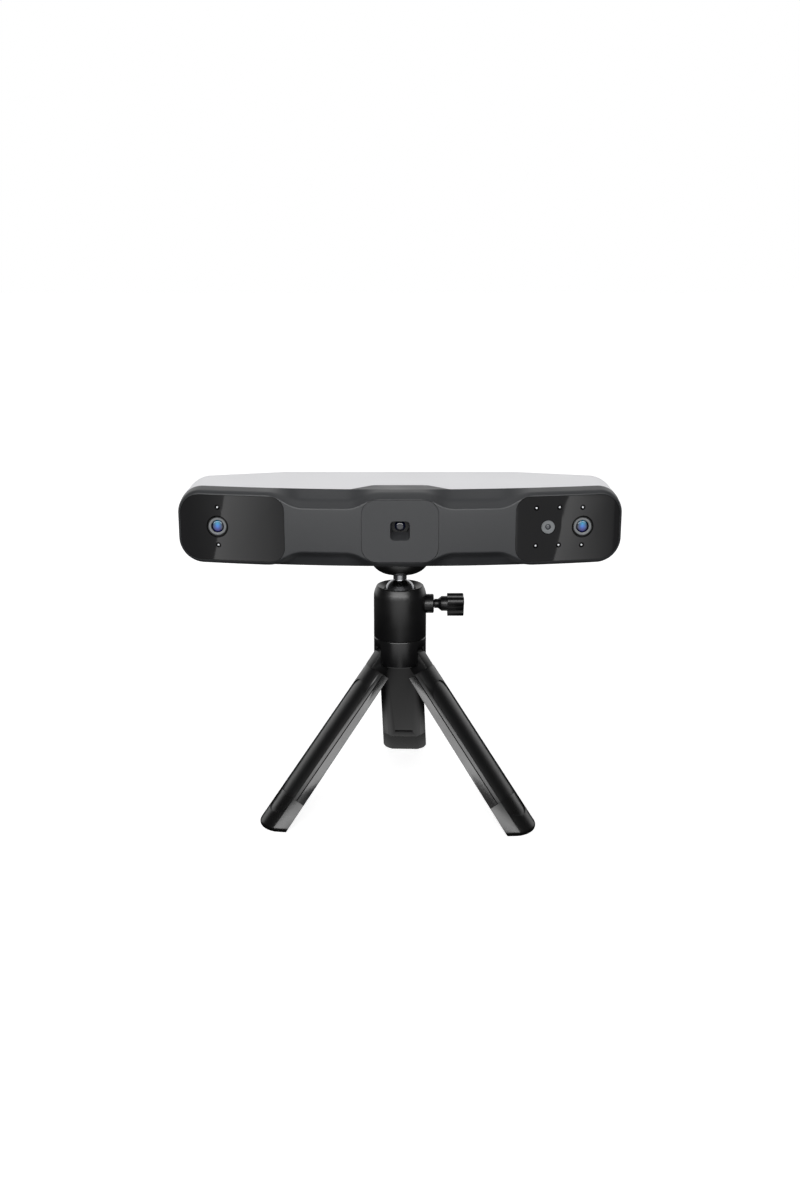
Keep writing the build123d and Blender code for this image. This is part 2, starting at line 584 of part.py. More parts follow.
with BuildPart() as usb_socket:
    add(block(USB_X, REAR_BOARD_REAR, REAR_Y - 0.2, 0, USB_W, USB_H, USB_CORNER_R))
    add(block(USB_X, REAR_BOARD_REAR + 1.0, REAR_Y, 0, USB_W - 2 * USB_WALL, USB_H - 2 * USB_WALL,
              USB_CORNER_R - USB_WALL), mode=Mode.SUBTRACT)
    add(block(USB_X, REAR_BOARD_REAR, REAR_Y - 1.2, 0, USB_TONGUE_W, USB_TONGUE_T, 0.2))
keep(usb_socket.part, "usb_socket")

with BuildPart() as thread_insert:
    add(cylinders(SCANNER_PLAN.offset(FLOOR), [(0, 0)], INSERT_R, INSERT_TOP - FLOOR))
    add(cylinders(SCANNER_PLAN.offset(FLOOR), [(0, 0)], INSERT_BORE_R, INSERT_TOP - FLOOR),
        mode=Mode.SUBTRACT)
keep(thread_insert.part, "thread_insert")

# ------------------------------------------------------------------ ball, stem and platform
PAD_T = 0.8
PAD_BOTTOM = SCANNER_Z - SCANNER_H / 2 - PAD_T
NECK_TOP = 91.0
PLATFORM_EDGE_Z, DISH_R, DISH_Z, DISH_BOTTOM = 90.0, 8.2, 88.7, 87.7
NECK_CLEAR_Z = 85.0       # the neck is plain from the ball to here
CAMERA_SCREW_L = 7.4

with BuildPart() as ball_stud:
    with Locations((0, COLUMN_Y, BALL_Z)):
        Sphere(BALL_R)
    add(cylinders(COLUMN_PLAN.offset(BALL_Z), [(0, 0)], NECK_R, NECK_TOP - BALL_Z))
    root = ball_stud.edges().filter_by(GeomType.CIRCLE)
    fillet(root.filter_by_position(Axis.Z, BALL_Z, NECK_CLEAR_Z), 0.6)
keep(ball_stud.part, "ball_stud")

with BuildPart() as platform:
    with BuildSketch(COLUMN_SIDE):
        with BuildLine():
            Polyline((NECK_R, DISH_BOTTOM), (NECK_R, NECK_TOP), (0, NECK_TOP), (0, PAD_BOTTOM),
                     (PLATFORM_R, PAD_BOTTOM), (PLATFORM_R, PLATFORM_EDGE_Z))
            ThreePointArc((PLATFORM_R, PLATFORM_EDGE_Z), (DISH_R, DISH_Z), (NECK_R, DISH_BOTTOM))
        make_face()
    revolve(axis=COLUMN_AXIS)
    add(cylinders(COLUMN_PLAN.offset(NECK_TOP), [(0, 0)], STUD_R, PAD_BOTTOM - NECK_TOP),
        mode=Mode.SUBTRACT)
keep(platform.part, "platform")

with BuildPart() as platform_pad:
    add(cylinders(COLUMN_PLAN.offset(PAD_BOTTOM), [(0, 0)], PLATFORM_R - 0.3, PAD_T))
    add(cylinders(COLUMN_PLAN.offset(PAD_BOTTOM), [(0, 0)], STUD_R, PAD_T), mode=Mode.SUBTRACT)
keep(platform_pad.part, "platform_pad")

with BuildPart() as camera_screw:
    add(cylinders(COLUMN_PLAN.offset(NECK_TOP), [(0, 0)], STUD_R, CAMERA_SCREW_L))
    chamfer(camera_screw.faces().sort_by(Axis.Z)[-1].edges(), 0.5)
keep(camera_screw.part, "camera_screw")

# ------------------------------------------------------------------ ball head
SOCKET_R = 6.15
SEAT_TOP, SEAT_BOTTOM, SEAT_R, SEAT_BORE_R = 74.0, 70.9, 6.0, 1.5
SHOULDER_Z, SHOULDER_R = 80.1, 7.0    # where the wall starts to lean in, and its rounding
RIM_R, RIM_ROUND = 8.2, 0.6
MOUTH_Z = 81.4            # the shallow funnel inside the rim meets the socket here
FIT_GAP = 0.08            # a turning or sliding fit
WASHER_R, WASHER_BORE_R = 5.8, 3.0
SPIGOT_R, SPIGOT_TOP = 7.0, 70.4
SHOE_R, SHOE_END = 1.45, 7.9
COLLAR_R, COLLAR_END = 3.45, 12.1
SHANK_R = 1.3
STEM_R, STEM_START, STEM_END = 1.67, 12.3, 13.6     # the thicker part outside the collar
HILT_START, GRIP_START, GRIP_END = 14.9, 17.0, 22.85
LOBE_R, LOBE_AT, GRIP_CORE_R = 1.6, 3.0, 2.7
GRUB_Z, GRUB_SUNK = 67.0, 0.4

with BuildPart() as head_housing:
    with BuildSketch(COLUMN_SIDE):
        with BuildLine():
            Polyline((0, SEAM_Z), (COLUMN_R, SEAM_Z), (COLUMN_R, SHOULDER_Z), (RIM_R, HEAD_TOP),
                     (SOCKET_R - 0.3, MOUTH_Z), (0, MOUTH_Z), close=True)
        make_face()
    revolve(axis=COLUMN_AXIS)
    shoulder, rim = head_housing.edges().filter_by(GeomType.CIRCLE).filter_by_position(
        Axis.Z, SHOULDER_Z - 0.1, HEAD_TOP + 0.1).filter_by(lambda e: e.radius > SPIGOT_R).sort_by(
        Axis.Z)
    fillet(shoulder, SHOULDER_R)
    fillet(rim, RIM_ROUND)
    add(cylinders(COLUMN_PLAN.offset(SEAM_Z), [(0, 0)], SPIGOT_R, SPIGOT_TOP - SEAM_Z),
        mode=Mode.SUBTRACT)
    add(cylinders(COLUMN_PLAN.offset(SPIGOT_TOP), [(0, 0)], SOCKET_R, BALL_Z - SPIGOT_TOP),
        mode=Mode.SUBTRACT)
    with Locations((0, COLUMN_Y, BALL_Z)):
        Sphere(SOCKET_R, mode=Mode.SUBTRACT)
    add(cylinders(CLAMP_PLANE, [(0, 0)], SHOE_R + GAP, COLUMN_R + 1), mode=Mode.SUBTRACT)
    add(cylinders(facing(COLUMN_R + 1), [(0, GRUB_Z - SCANNER_Z)], PIN_R,
                  COLUMN_R + 1 - SPIGOT_R + GAP), mode=Mode.SUBTRACT)
keep(head_housing.part, "head_housing")

with BuildPart() as ball_seat:
    add(cylinders(COLUMN_PLAN.offset(SEAT_BOTTOM), [(0, 0)], SEAT_R, SEAT_TOP - SEAT_BOTTOM))
    with Locations((0, COLUMN_Y, BALL_Z)):
        Sphere(BALL_R + FIT_GAP, mode=Mode.SUBTRACT)
    add(cylinders(COLUMN_PLAN.offset(SEAT_BOTTOM), [(0, 0)], SEAT_BORE_R, SEAT_TOP - SEAT_BOTTOM),
        mode=Mode.SUBTRACT)
keep(ball_seat.part, "ball_seat")

with BuildPart() as spring_washer:
    add(cylinders(COLUMN_PLAN.offset(SPIGOT_TOP), [(0, 0)], WASHER_R, SEAT_BOTTOM - SPIGOT_TOP))
    add(cylinders(COLUMN_PLAN.offset(SPIGOT_TOP), [(0, 0)], WASHER_BORE_R,
                  SEAT_BOTTOM - SPIGOT_TOP), mode=Mode.SUBTRACT)
keep(spring_washer.part, "spring_washer")

with BuildPart() as head_grub_screw:
    add(cylinders(facing(COLUMN_R - GRUB_SUNK), [(0, GRUB_Z - SCANNER_Z)], PIN_R,
                  COLUMN_R - GRUB_SUNK - SPIGOT_R))
keep(head_grub_screw.part, "head_grub_screw")

with BuildPart() as clamp_collar:
    add(cylinders(CLAMP_PLANE, [(0, 0)], COLLAR_R, COLLAR_END))
    chamfer(clamp_collar.faces().sort_by(Axis.X)[-1].edges(), 0.3)
    add(cylinders(COLUMN_PLAN, [(0, 0)], COLUMN_R, HEAD_TOP), mode=Mode.SUBTRACT)
    add(cylinders(CLAMP_PLANE, [(0, 0)], SHANK_R + FIT_GAP, COLLAR_END + 1),
        mode=Mode.SUBTRACT)
keep(clamp_collar.part, "clamp_collar")

with BuildPart() as clamp_shoe:
    add(cylinders(CLAMP_PLANE, [(0, 0)], SHOE_R, SHOE_END))
    with Locations((0, COLUMN_Y, BALL_Z)):
        Sphere(BALL_R + FIT_GAP, mode=Mode.SUBTRACT)
keep(clamp_shoe.part.solids().sort_by(Axis.X)[-1], "clamp_shoe")

with BuildPart() as clamp_knob:
    add(cylinders(CLAMP_PLANE.offset(SHOE_END), [(0, 0)], SHANK_R, STEM_START - SHOE_END))
    add(cylinders(CLAMP_PLANE.offset(STEM_START), [(0, 0)], STEM_R, STEM_END - STEM_START))
    with BuildSketch(CLAMP_PLANE.offset(STEM_END)):
        Circle(STEM_R)
    with BuildSketch(CLAMP_PLANE.offset(HILT_START)):
        Circle(GRIP_CORE_R)
    loft()
    with BuildSketch(CLAMP_PLANE.offset(GRIP_START)) as grip:
        Circle(GRIP_CORE_R)
        with PolarLocations(LOBE_AT, 3, start_angle=-90):
            Circle(LOBE_R)
        with PolarLocations(LOBE_AT / 2, 3, start_angle=-90):
            Rectangle(LOBE_AT, 2 * LOBE_R)
    extrude(amount=GRIP_END - GRIP_START)
    chamfer(clamp_knob.faces().sort_by(Axis.X)[-1].edges(), 0.25)
    add(cylinders(CLAMP_PLANE.offset(HILT_START), [(0, 0)], GRIP_CORE_R, GRIP_START - HILT_START))
keep(clamp_knob.part, "clamp_knob")

# ------------------------------------------------------------------ hub and hinge pins
LEG_TURNS = {"left": -60.0, "right": 60.0, "rear": 180.0}
PIN_HALF = 5.6


def outward(turn):
    """Level direction in which a leg points, from its turn about the column."""
    angle = radians(turn - LEG_TURN)
    return Vector(sin(angle), -cos(angle), 0)


def across(turn):
    """Level direction across a leg, along its hinge pin."""
    angle = radians(turn - LEG_TURN)
    return Vector(cos(angle), sin(angle), 0)


def hinge_point(turn):
    """Middle of a leg's hinge pin."""
    return Vector(0, COLUMN_Y, HINGE_Z) + outward(turn) * HINGE_R


def pin_plane(turn):
    """Plane across a hinge pin at its middle: x outward, y down."""
    return Plane(origin=hinge_point(turn), x_dir=outward(turn), z_dir=across(turn))


PIN_ENTRY = {"left": -1, "right": 1, "rear": 1}       # the pins go in from the rear sides

with BuildPart() as hub:
    add(cylinders(COLUMN_PLAN.offset(HUB_BOTTOM), [(0, 0)], COLUMN_R, SEAM_Z - HUB_BOTTOM))
    fillet(hub.faces().sort_by(Axis.Z)[-1].edges(), 0.6)
    chamfer(hub.faces().sort_by(Axis.Z)[0].edges(), 0.3)
    add(cylinders(COLUMN_PLAN.offset(SEAM_Z), [(0, 0)], SPIGOT_R, SPIGOT_TOP - SEAM_Z))
    for leg, turn in LEG_TURNS.items():
        with BuildSketch(pin_plane(turn)):
            with Locations((SLOT_FLOOR_R - HINGE_R, HINGE_Z - SLOT_TOP)):
                Rectangle(2 * COLUMN_R, SLOT_TOP, align=(Align.MIN, Align.MIN))
        extrude(amount=SLOT_HALF, both=True, mode=Mode.SUBTRACT)
        with BuildSketch(pin_plane(turn).offset(-PIN_ENTRY[leg] * PIN_HALF)):
            Circle(PIN_R)
        extrude(amount=PIN_ENTRY[leg] * 2 * COLUMN_R, mode=Mode.SUBTRACT)
keep(hub.part, "hub")

with BuildPart() as hinge_pins:
    for turn in LEG_TURNS.values():
        with BuildSketch(pin_plane(turn)):
            Circle(PIN_R)
        extrude(amount=PIN_HALF, both=True)
keep(hinge_pins.part, "hinge_pins")

# ------------------------------------------------------------------ legs and feet
SHOULDER_GAP = 0.2        # half the gap between folded legs
TIP_R = 1.4
HEEL_HALF = 2.4           # flat above the pin that meets the hub when a leg is open
KNUCKLE_R = HINGE_R - LEG_FLAT + 0.6
JOINT_W, JOINT_T, JOINT_L = 6.0, 2.6, 5.0         # tongue of the foot inside the leg
CATCH_W, CATCH_H, CATCH_DEEP, CATCH_AT = 7.0, 1.6, 1.0, 55.0


def leg_direction(turn):
    """Direction down an open leg."""
    return outward(turn) * sin(radians(LEG_SPREAD)) - Vector(0, 0, cos(radians(LEG_SPREAD)))


def leg_outside(turn):
    """Direction out of the back of an open leg, square to it."""
    return outward(turn) * cos(radians(LEG_SPREAD)) + Vector(0, 0, sin(radians(LEG_SPREAD)))


def leg_plane(turn, down):
    """Cross-section plane of an open leg. The folded column's axis is at x = -HINGE_R."""
    plane = Plane(origin=hinge_point(turn), x_dir=leg_outside(turn), z_dir=leg_direction(turn))
    return plane.offset(down)


def leg_side_plane(turn):
    """Plane through an open leg's middle: x out of its back, y down the leg."""
    return Plane(origin=hinge_point(turn), x_dir=leg_outside(turn), z_dir=across(turn))


def leg_radius(down):
    """Outer radius of a folded leg at a distance down it."""
    return LEG_R_TOP + (LEG_R_FOOT - LEG_R_TOP) * (down - LEG_TOP) / (LEG_END - LEG_TOP)


def sector(down, depth=0.0):
    """Cross-section of a leg in its own flat drawing, with the folded column's axis at its
    origin: a third of a round column with a flat inside, less a gap to its neighbours. The
    back is round in the middle and has a flat facet along each edge."""
    radius = leg_radius(down) - depth
    slope = sqrt(3)
    inner = slope * LEG_FLAT - 2 * SHOULDER_GAP
    reach = (slope * SHOULDER_GAP + sqrt(radius**2 - SHOULDER_GAP**2)) / 2
    outer = slope * reach - 2 * SHOULDER_GAP
    facet = sqrt(radius**2 - FACET_HALF**2)
    with BuildSketch() as profile:
        with BuildLine():
            Polyline((facet, -FACET_HALF), (reach, -outer), (LEG_FLAT, -inner),
                     (LEG_FLAT, inner), (reach, outer), (facet, FACET_HALF))
            ThreePointArc((facet, FACET_HALF), (radius, 0), (facet, -FACET_HALF))
        make_face()
    return profile.sketch


def leg_blank(turn, start, end, depth=0.0):
    """The plain body of a leg between two distances down it."""
    with BuildPart() as blank:
        for down in (start, end):
            with BuildSketch(leg_plane(turn, down)):
                with Locations((-HINGE_R, 0)):
                    add(sector(down, depth))
        loft(ruled=True)
    return blank.part


def groove_blank(turn):
    """What the long shallow recess down the back of a leg and its foot takes away."""
    middle = (GROOVE_TOP + GROOVE_END) / 2
    outside = leg_outside(turn)
    start = hinge_point(turn) + leg_direction(turn) * middle
    with BuildPart() as recess:
        with BuildSketch(Plane(origin=start, x_dir=leg_direction(turn), z_dir=outside)):
            SlotOverall(GROOVE_END - GROOVE_TOP, 2 * GROOVE_HALF)
        extrude(amount=COLUMN_R)
        add(leg_blank(turn, 0.0, LEG_END, GROOVE_DEPTH), mode=Mode.SUBTRACT)
    return recess.part


with BuildPart() as above_ground:
    with BuildSketch(COLUMN_PLAN):
        Circle(SCANNER_W)
    extrude(amount=SCANNER_Z)

for leg, turn in LEG_TURNS.items():
    groove = groove_blank(turn)
    joint_plane = leg_plane(turn, FOOT_JOINT)
    joint_at = (LEG_FLAT + LEG_R_FOOT) / 2 - HINGE_R

    with BuildPart() as body:
        add(leg_blank(turn, LEG_TOP, FOOT_JOINT))
        with BuildSketch(leg_side_plane(turn)):
            Circle(KNUCKLE_R)
            with Locations((LEG_FLAT - HINGE_R + SHOULDER_GAP, 0)):
                Rectangle(2 * KNUCKLE_R - SHOULDER_GAP, LEG_TOP + GAP, align=(Align.MIN, Align.MIN))
        with BuildSketch(pin_plane(turn)):
            with Locations((SLOT_FLOOR_R + GAP - HINGE_R, -HEEL_HALF)):
                Rectangle(HINGE_R - SLOT_FLOOR_R - GAP, HEEL_HALF, align=(Align.MIN, Align.MIN))
        extrude(amount=TAB_HALF, both=True)
        with BuildSketch(leg_side_plane(turn)):
            Circle(PIN_R + GAP / 2)
        extrude(amount=TAB_HALF + 1, both=True, mode=Mode.SUBTRACT)
        add(groove, mode=Mode.SUBTRACT)
        with BuildSketch(joint_plane):
            with Locations((joint_at, 0)):
                Rectangle(JOINT_T + GAP, JOINT_W + GAP)
        extrude(amount=-JOINT_L - GAP, mode=Mode.SUBTRACT)
        with BuildSketch(leg_plane(turn, CATCH_AT)):
            with Locations((LEG_FLAT - HINGE_R, 0)):
                Rectangle(2 * CATCH_DEEP, CATCH_W)
        extrude(amount=CATCH_H, mode=Mode.SUBTRACT)
    keep(body.part, f"{leg}_leg")

    with BuildPart() as foot:
        add(leg_blank(turn, FOOT_JOINT, LEG_END))
        add(above_ground.part, mode=Mode.INTERSECT)
        tip = foot.edges().filter_by_position(Axis.Z, -0.01, 0.01)
        fillet(tip.sort_by(Axis(hinge_point(turn), outward(turn)))[-3:], TIP_R)
        add(groove, mode=Mode.SUBTRACT)
        with BuildSketch(joint_plane):
            with Locations((joint_at, 0)):
                Rectangle(JOINT_T, JOINT_W)
        extrude(amount=-JOINT_L)
    keep(foot.part, f"{leg}_foot")
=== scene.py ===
# %% [markdown]
# # A desktop 3D scanner on a pocket tripod
#
# The object is a bar with two camera windows, a projector between them and a silver shell behind,
# screwed to a small ball head on three folding legs. Its solids come from a CAD program with their
# real sizes, so this script never moves or resizes them. It gives every solid a material, and where
# a moulded or machined surface needs softer edges than the solids have, it makes a finer skin that
# stands for the solid.
#
# The first cell loads the solids. Everything is in metres: +Z is up and the scanner looks along -Y.

import json
from math import cos, pi, radians, sin, sqrt

import bmesh
import bpy
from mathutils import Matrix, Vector


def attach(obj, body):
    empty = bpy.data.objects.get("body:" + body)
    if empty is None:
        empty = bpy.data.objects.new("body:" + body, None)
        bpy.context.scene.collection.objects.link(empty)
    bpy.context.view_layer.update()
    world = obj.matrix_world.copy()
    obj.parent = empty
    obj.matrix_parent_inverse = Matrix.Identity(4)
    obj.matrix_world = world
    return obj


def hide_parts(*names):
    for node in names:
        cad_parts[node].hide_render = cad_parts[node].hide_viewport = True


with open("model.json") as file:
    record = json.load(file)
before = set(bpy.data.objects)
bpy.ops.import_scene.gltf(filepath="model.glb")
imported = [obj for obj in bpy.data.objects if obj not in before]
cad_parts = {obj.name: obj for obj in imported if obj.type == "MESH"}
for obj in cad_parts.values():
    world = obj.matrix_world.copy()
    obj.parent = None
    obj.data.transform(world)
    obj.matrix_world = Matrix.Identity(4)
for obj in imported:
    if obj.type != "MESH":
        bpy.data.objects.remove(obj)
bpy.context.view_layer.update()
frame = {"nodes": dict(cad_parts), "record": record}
nodes = frame["nodes"]

# %% [markdown]
# ## Units and places
#
# A drawing of this scanner is in millimetres, Blender works in metres. One factor and two small
# functions keep the numbers below readable: `at_scanner` places a point that is measured from the
# middle of the scanner bar, and `at_column` one that is measured from the foot of the tripod's
# column. The column stands a little in front of the origin, because the rear leg reaches further.

# %% Millimetres to metres
MM = 0.001
COLUMN_Y = -10.797
SCANNER_Z = 107.0


def at_scanner(x, y, z):
    """A point measured in mm from the middle of the scanner bar."""
    return Vector((x, COLUMN_Y + y, SCANNER_Z + z)) * MM


def at_column(x, y, z):
    """A point measured in mm from the foot of the tripod's column."""
    return Vector((x, COLUMN_Y + y, z)) * MM


print("middle of the scanner:", tuple(round(v, 4) for v in at_scanner(0, 0, 0)))

# %% [markdown]
# ## The camera
#
# A product picture like this is taken from a little above with a short telephoto lens, so the bar's
# silver top shows as a thin band. The camera looks down by 15.8 degrees and has no side turn.

# %% Camera
CAMERA_AWAY, CAMERA_UP, CAMERA_DOWN = 452.2, 205.0, 15.8
camera_data = bpy.data.cameras.new("camera")
camera_data.lens = 39.27
camera_data.sensor_width = 36.0
camera_data.clip_start = 0.01
camera = bpy.data.objects.new("camera", camera_data)
camera.location = at_column(0, -CAMERA_AWAY, CAMERA_UP)
camera.rotation_euler = (radians(90 - CAMERA_DOWN), 0, 0)
bpy.context.scene.collection.objects.link(camera)
bpy.context.scene.camera = camera
bpy.context.scene.view_settings.view_transform = "Standard"
print("camera at", tuple(round(v, 3) for v in camera.location))

# %% [markdown]
# ## A helper for materials
#
# Every finish below is a small network of shader nodes. One function adds a node, sets its settings
# and its inputs, and links whatever is handed to it as an output socket. Colours are written as the
# hex values that a paint chart gives, and `colour` turns them into the linear values that the
# shaders work with.

# %% Node and colour helpers


def colour(hex_value):
    """A linear RGBA colour from an sRGB hex value such as '#c8c9cb'."""
    parts = [int(hex_value[i:i + 2], 16) / 255 for i in (1, 3, 5)]
    return [p / 12.92 if p <= 0.04045 else ((p + 0.055) / 1.055) ** 2.4 for p in parts] + [1.0]


def add(tree, kind, inputs=None, **settings):
    """Adds a node. An input is a plain value, or the output socket that feeds it."""
    node = tree.nodes.new(kind)
    for name, value in settings.items():
        setattr(node, name, value)
    for name, value in (inputs or {}).items():
        socket = node.inputs[name]
        if isinstance(value, bpy.types.NodeSocket):
            tree.links.new(value, socket)
        else:
            socket.default_value = value
    return node


def ramped(tree, value, low, high, start=0.0, end=1.0):
    """A value that goes smoothly from start to end while another goes from low to high."""
    node = add(tree, "ShaderNodeMapRange", {
        "Value": value, "From Min": low, "From Max": high, "To Min": start, "To Max": end},
        interpolation_type="SMOOTHSTEP")
    return node.outputs["Result"]


def arithmetic(tree, operation, first, second=0.0):
    """The result of a sum on two values."""
    return add(tree, "ShaderNodeMath", {0: first, 1: second}, operation=operation).outputs["Value"]


def wire(tree, shader, tint, sheen, bump):
    """Feeds a shader from the nodes that make its colour, roughness and fine relief."""
    for socket, source in (("Base Color", tint.outputs["Color"]),
                           ("Roughness", sheen.outputs["Result"]),
                           ("Normal", bump.outputs["Normal"])):
        tree.links.new(source, shader.inputs[socket])


def new_material(name, **shader_values):
    """A material with one Principled shader. Returns it, its tree and its shader."""
    material = bpy.data.materials.new(name)
    material.use_nodes = True
    tree = material.node_tree
    tree.nodes.clear()
    shader = add(tree, "ShaderNodeBsdfPrincipled", shader_values)
    add(tree, "ShaderNodeOutputMaterial", {"Surface": shader.outputs["BSDF"]})
    return material, tree, shader


print("a mid grey, #808080, is", [round(v, 3) for v in colour("#808080")])

# %% [markdown]
# ## Moulded plastics
#
# The bezel, the tripod and the buttons are injection moulded. A mould is spark eroded to a fine
# grain, and the plastic copies it: seen close it is a field of soft bumps, seen from further away
# it is a satin sheen. The grain is really about 0.1 mm, too fine to show here, so it is drawn a
# few times as coarse. A second, wide cloud of noise shifts the colour and the sheen a little, the
# way handling and the flow of the plastic do.

# %% Plastics and rubber


def moulded(name, base, worn, roughness, grain=0.4, depth=0.012, spread=0.06, **values):
    """A moulded finish: colours base and worn, grain size and depth in mm, spread of roughness."""
    material, tree, shader = new_material(name, **values)
    place = add(tree, "ShaderNodeTexCoord").outputs["Object"]
    grain_noise = add(tree, "ShaderNodeTexNoise", {
        "Vector": place, "Scale": 1 / (grain * MM), "Detail": 2.0, "Roughness": 0.5})
    cloud = add(tree, "ShaderNodeTexNoise", {
        "Vector": place, "Scale": 1 / (14 * MM), "Detail": 4.0, "Roughness": 0.6})
    tint = add(tree, "ShaderNodeMixRGB", {
        "Fac": cloud.outputs["Fac"], "Color1": colour(base), "Color2": colour(worn)})
    sheen = add(tree, "ShaderNodeMapRange", {
        "Value": cloud.outputs["Fac"], "From Min": 0.3, "From Max": 0.7,
        "To Min": roughness - spread, "To Max": roughness + spread})
    bump = add(tree, "ShaderNodeBump", {
        "Strength": 0.5, "Distance": depth * MM, "Height": grain_noise.outputs["Fac"]})
    wire(tree, shader, tint, sheen, bump)
    return material


# Grey ABS with a fine spark grain: even, soft, with a low sheen.
bezel_abs = moulded("grey_abs_spark_grain", "#333436", "#38393b", 0.44, IOR=1.54)
# Glass-filled nylon with a polished mould: nearly black, with broad soft highlights.
tripod_nylon = moulded("black_nylon_satin", "#070708", "#0b0b0c", 0.24, IOR=1.64)
# Black anodised and bead-blasted turned parts of the head: as dark, a little drier.
head_black = moulded("black_anodised_blasted", "#0a0a0b", "#0e0e0f", 0.34, grain=0.3, IOR=1.6)
knob_nylon = moulded("black_nylon_knob", "#070708", "#0b0b0c", 0.28, IOR=1.53)
foot_rubber = moulded("black_rubber_foot", "#0a0a0a", "#0e0e0e", 0.28, grain=0.6, depth=0.02,
                      IOR=1.62)
pad_rubber = moulded("black_rubber_pad", "#151515", "#1d1d1d", 0.7, grain=0.6, depth=0.03, IOR=1.52)
optics_black = moulded("black_polycarbonate_matt", "#060606", "#09090a", 0.55, IOR=1.45)
chip_epoxy = moulded("black_epoxy_chip", "#141416", "#1b1b1d", 0.6, IOR=1.55)
button_abs = moulded("dark_abs_button", "#3a3b3d", "#434446", 0.45, IOR=1.5)
light_guide = moulded("frosted_polycarbonate", "#e6e8ea", "#f1f2f3", 0.4, IOR=1.58)
solder_mask = moulded("green_solder_mask", "#0d3b22", "#12492b", 0.35, grain=1.2, depth=0.02,
                      IOR=1.55)
polyimide = moulded("amber_polyimide_film", "#b8702a", "#c98237", 0.3, grain=3.0, IOR=1.7)
print("plastics and rubbers ready")

# %% [markdown]
# ## Metals
#
# The shell is aluminium that was bead blasted and anodised silver: the blasting scatters light
# evenly, so it looks pale and soft instead of mirror-like. The ball and its stem are turned steel,
# whose fine rings run round the axis. Both are metals, so their colour is in the reflection.

# %% Metals


def blasted_metal(name, base, worn, roughness, grain=0.35, depth=0.01):
    """A blasted or cast metal: an even grain and a slow change of sheen."""
    return moulded(name, base, worn, roughness, grain=grain, depth=depth, spread=0.04, Metallic=1.0)


def turned_metal(name, base, worn, roughness, centre, axis, ring=0.25, depth=0.004):
    """A turned metal: fine rings round an axis through centre, both in the object's own metres."""
    material, tree, shader = new_material(name, Metallic=1.0)
    place = add(tree, "ShaderNodeTexCoord").outputs["Object"]
    centred = add(tree, "ShaderNodeVectorMath", {0: place, 1: centre}, operation="SUBTRACT")
    along = add(tree, "ShaderNodeVectorMath", {0: centred.outputs["Vector"], 1: axis},
                operation="DOT_PRODUCT")
    rings = add(tree, "ShaderNodeTexNoise", {
        "W": along.outputs["Value"], "Scale": 1 / (ring * MM), "Detail": 2.0},
        noise_dimensions="1D")
    tint = add(tree, "ShaderNodeMixRGB", {
        "Fac": rings.outputs["Fac"], "Color1": colour(base), "Color2": colour(worn)})
    sheen = add(tree, "ShaderNodeMapRange", {
        "Value": rings.outputs["Fac"], "To Min": roughness * 0.8, "To Max": roughness * 1.2})
    bump = add(tree, "ShaderNodeBump", {
        "Strength": 0.4, "Distance": depth * MM, "Height": rings.outputs["Fac"]})
    wire(tree, shader, tint, sheen, bump)
    return material


shell_anodised = blasted_metal("silver_anodised_aluminium", "#e0e0e2", "#e6e6e8", 0.48)
bench_aluminium = blasted_metal("milled_aluminium", "#a9aaad", "#b5b6b9", 0.38, grain=0.8)
screw_steel = blasted_metal("plated_steel", "#8f9093", "#9d9ea1", 0.28, grain=0.5)
socket_steel = blasted_metal("drawn_steel_socket", "#9a9b9e", "#a7a8ab", 0.25, grain=0.6)
thread_brass = blasted_metal("turned_brass", "#b08d4c", "#c09c58", 0.3, grain=0.4)
BALL_Z = 79.2
ball_steel = turned_metal("turned_steel_ball", "#8b8c8f", "#a2a3a6", 0.2,
                          at_column(0, 0, BALL_Z), (0.0, 0.0, 1.0))
print("metals ready")

# %% [markdown]
# ## The windows and the lenses
#
# Each camera looks through a sheet of acrylic that is printed black on its back. Its face is
# polished, so it is almost a mirror for whatever stands in front, and the print makes it dark.
# Fingers leave it very slightly uneven, which only the roughness shows.
#
# A camera lens is coated against reflections. Its blue and violet reflection is painted into its
# colour, from the lens's lower edge to its upper one, and painted shade darkens it to both sides.

# %% Window and lens finishes
window_acrylic = moulded("smoked_acrylic_window", "#1e1e1f", "#222223", 0.035, grain=9.0,
                         depth=0.004, spread=0.01, IOR=1.49)


# Painted shade: towards both sides the lens colour darkens to this dark blue.
LENS_PAINTED_SHADE, PAINTED_SHADE_START, PAINTED_SHADE_END = "#050a24", 0.08, 0.7


def lens_with_painted_reflection(name, centre, radius, base_stops):
    """A lens with a painted reflection: colours from its lower edge to its upper one, painted shade
    at both sides.
    """
    material, tree, shader = new_material(name, **{
        "Roughness": 0.12, "IOR": 1.5,
        "Coat Weight": 1.0, "Coat Roughness": 0.03, "Coat IOR": 1.55})
    place = add(tree, "ShaderNodeTexCoord").outputs["Object"]
    centred = add(tree, "ShaderNodeVectorMath", {0: place, 1: centre}, operation="SUBTRACT")
    sides = add(tree, "ShaderNodeSeparateXYZ", {"Vector": centred.outputs["Vector"]}).outputs
    rise = add(tree, "ShaderNodeMapRange", {
        "Value": sides["Z"], "From Min": -radius * MM, "From Max": radius * MM})
    ramp = add(tree, "ShaderNodeValToRGB", {"Fac": rise.outputs["Result"]})
    elements = ramp.color_ramp.elements
    for index, (position, hex_value) in enumerate(base_stops):
        element = elements[index] if index < 2 else elements.new(position)
        element.position, element.color = position, colour(hex_value)
    shade = add(tree, "ShaderNodeMapRange", {
        "Value": arithmetic(tree, "ABSOLUTE", sides["X"]),
        "From Min": PAINTED_SHADE_START * radius * MM, "From Max": PAINTED_SHADE_END * radius * MM,
        "To Min": 0.0, "To Max": 1.0})
    tint = add(tree, "ShaderNodeMixRGB", {
        "Fac": shade.outputs["Result"], "Color1": ramp.outputs["Color"],
        "Color2": colour(LENS_PAINTED_SHADE)})
    tree.links.new(tint.outputs["Color"], shader.inputs["Base Color"])
    return material


print("window and lens finishes ready")
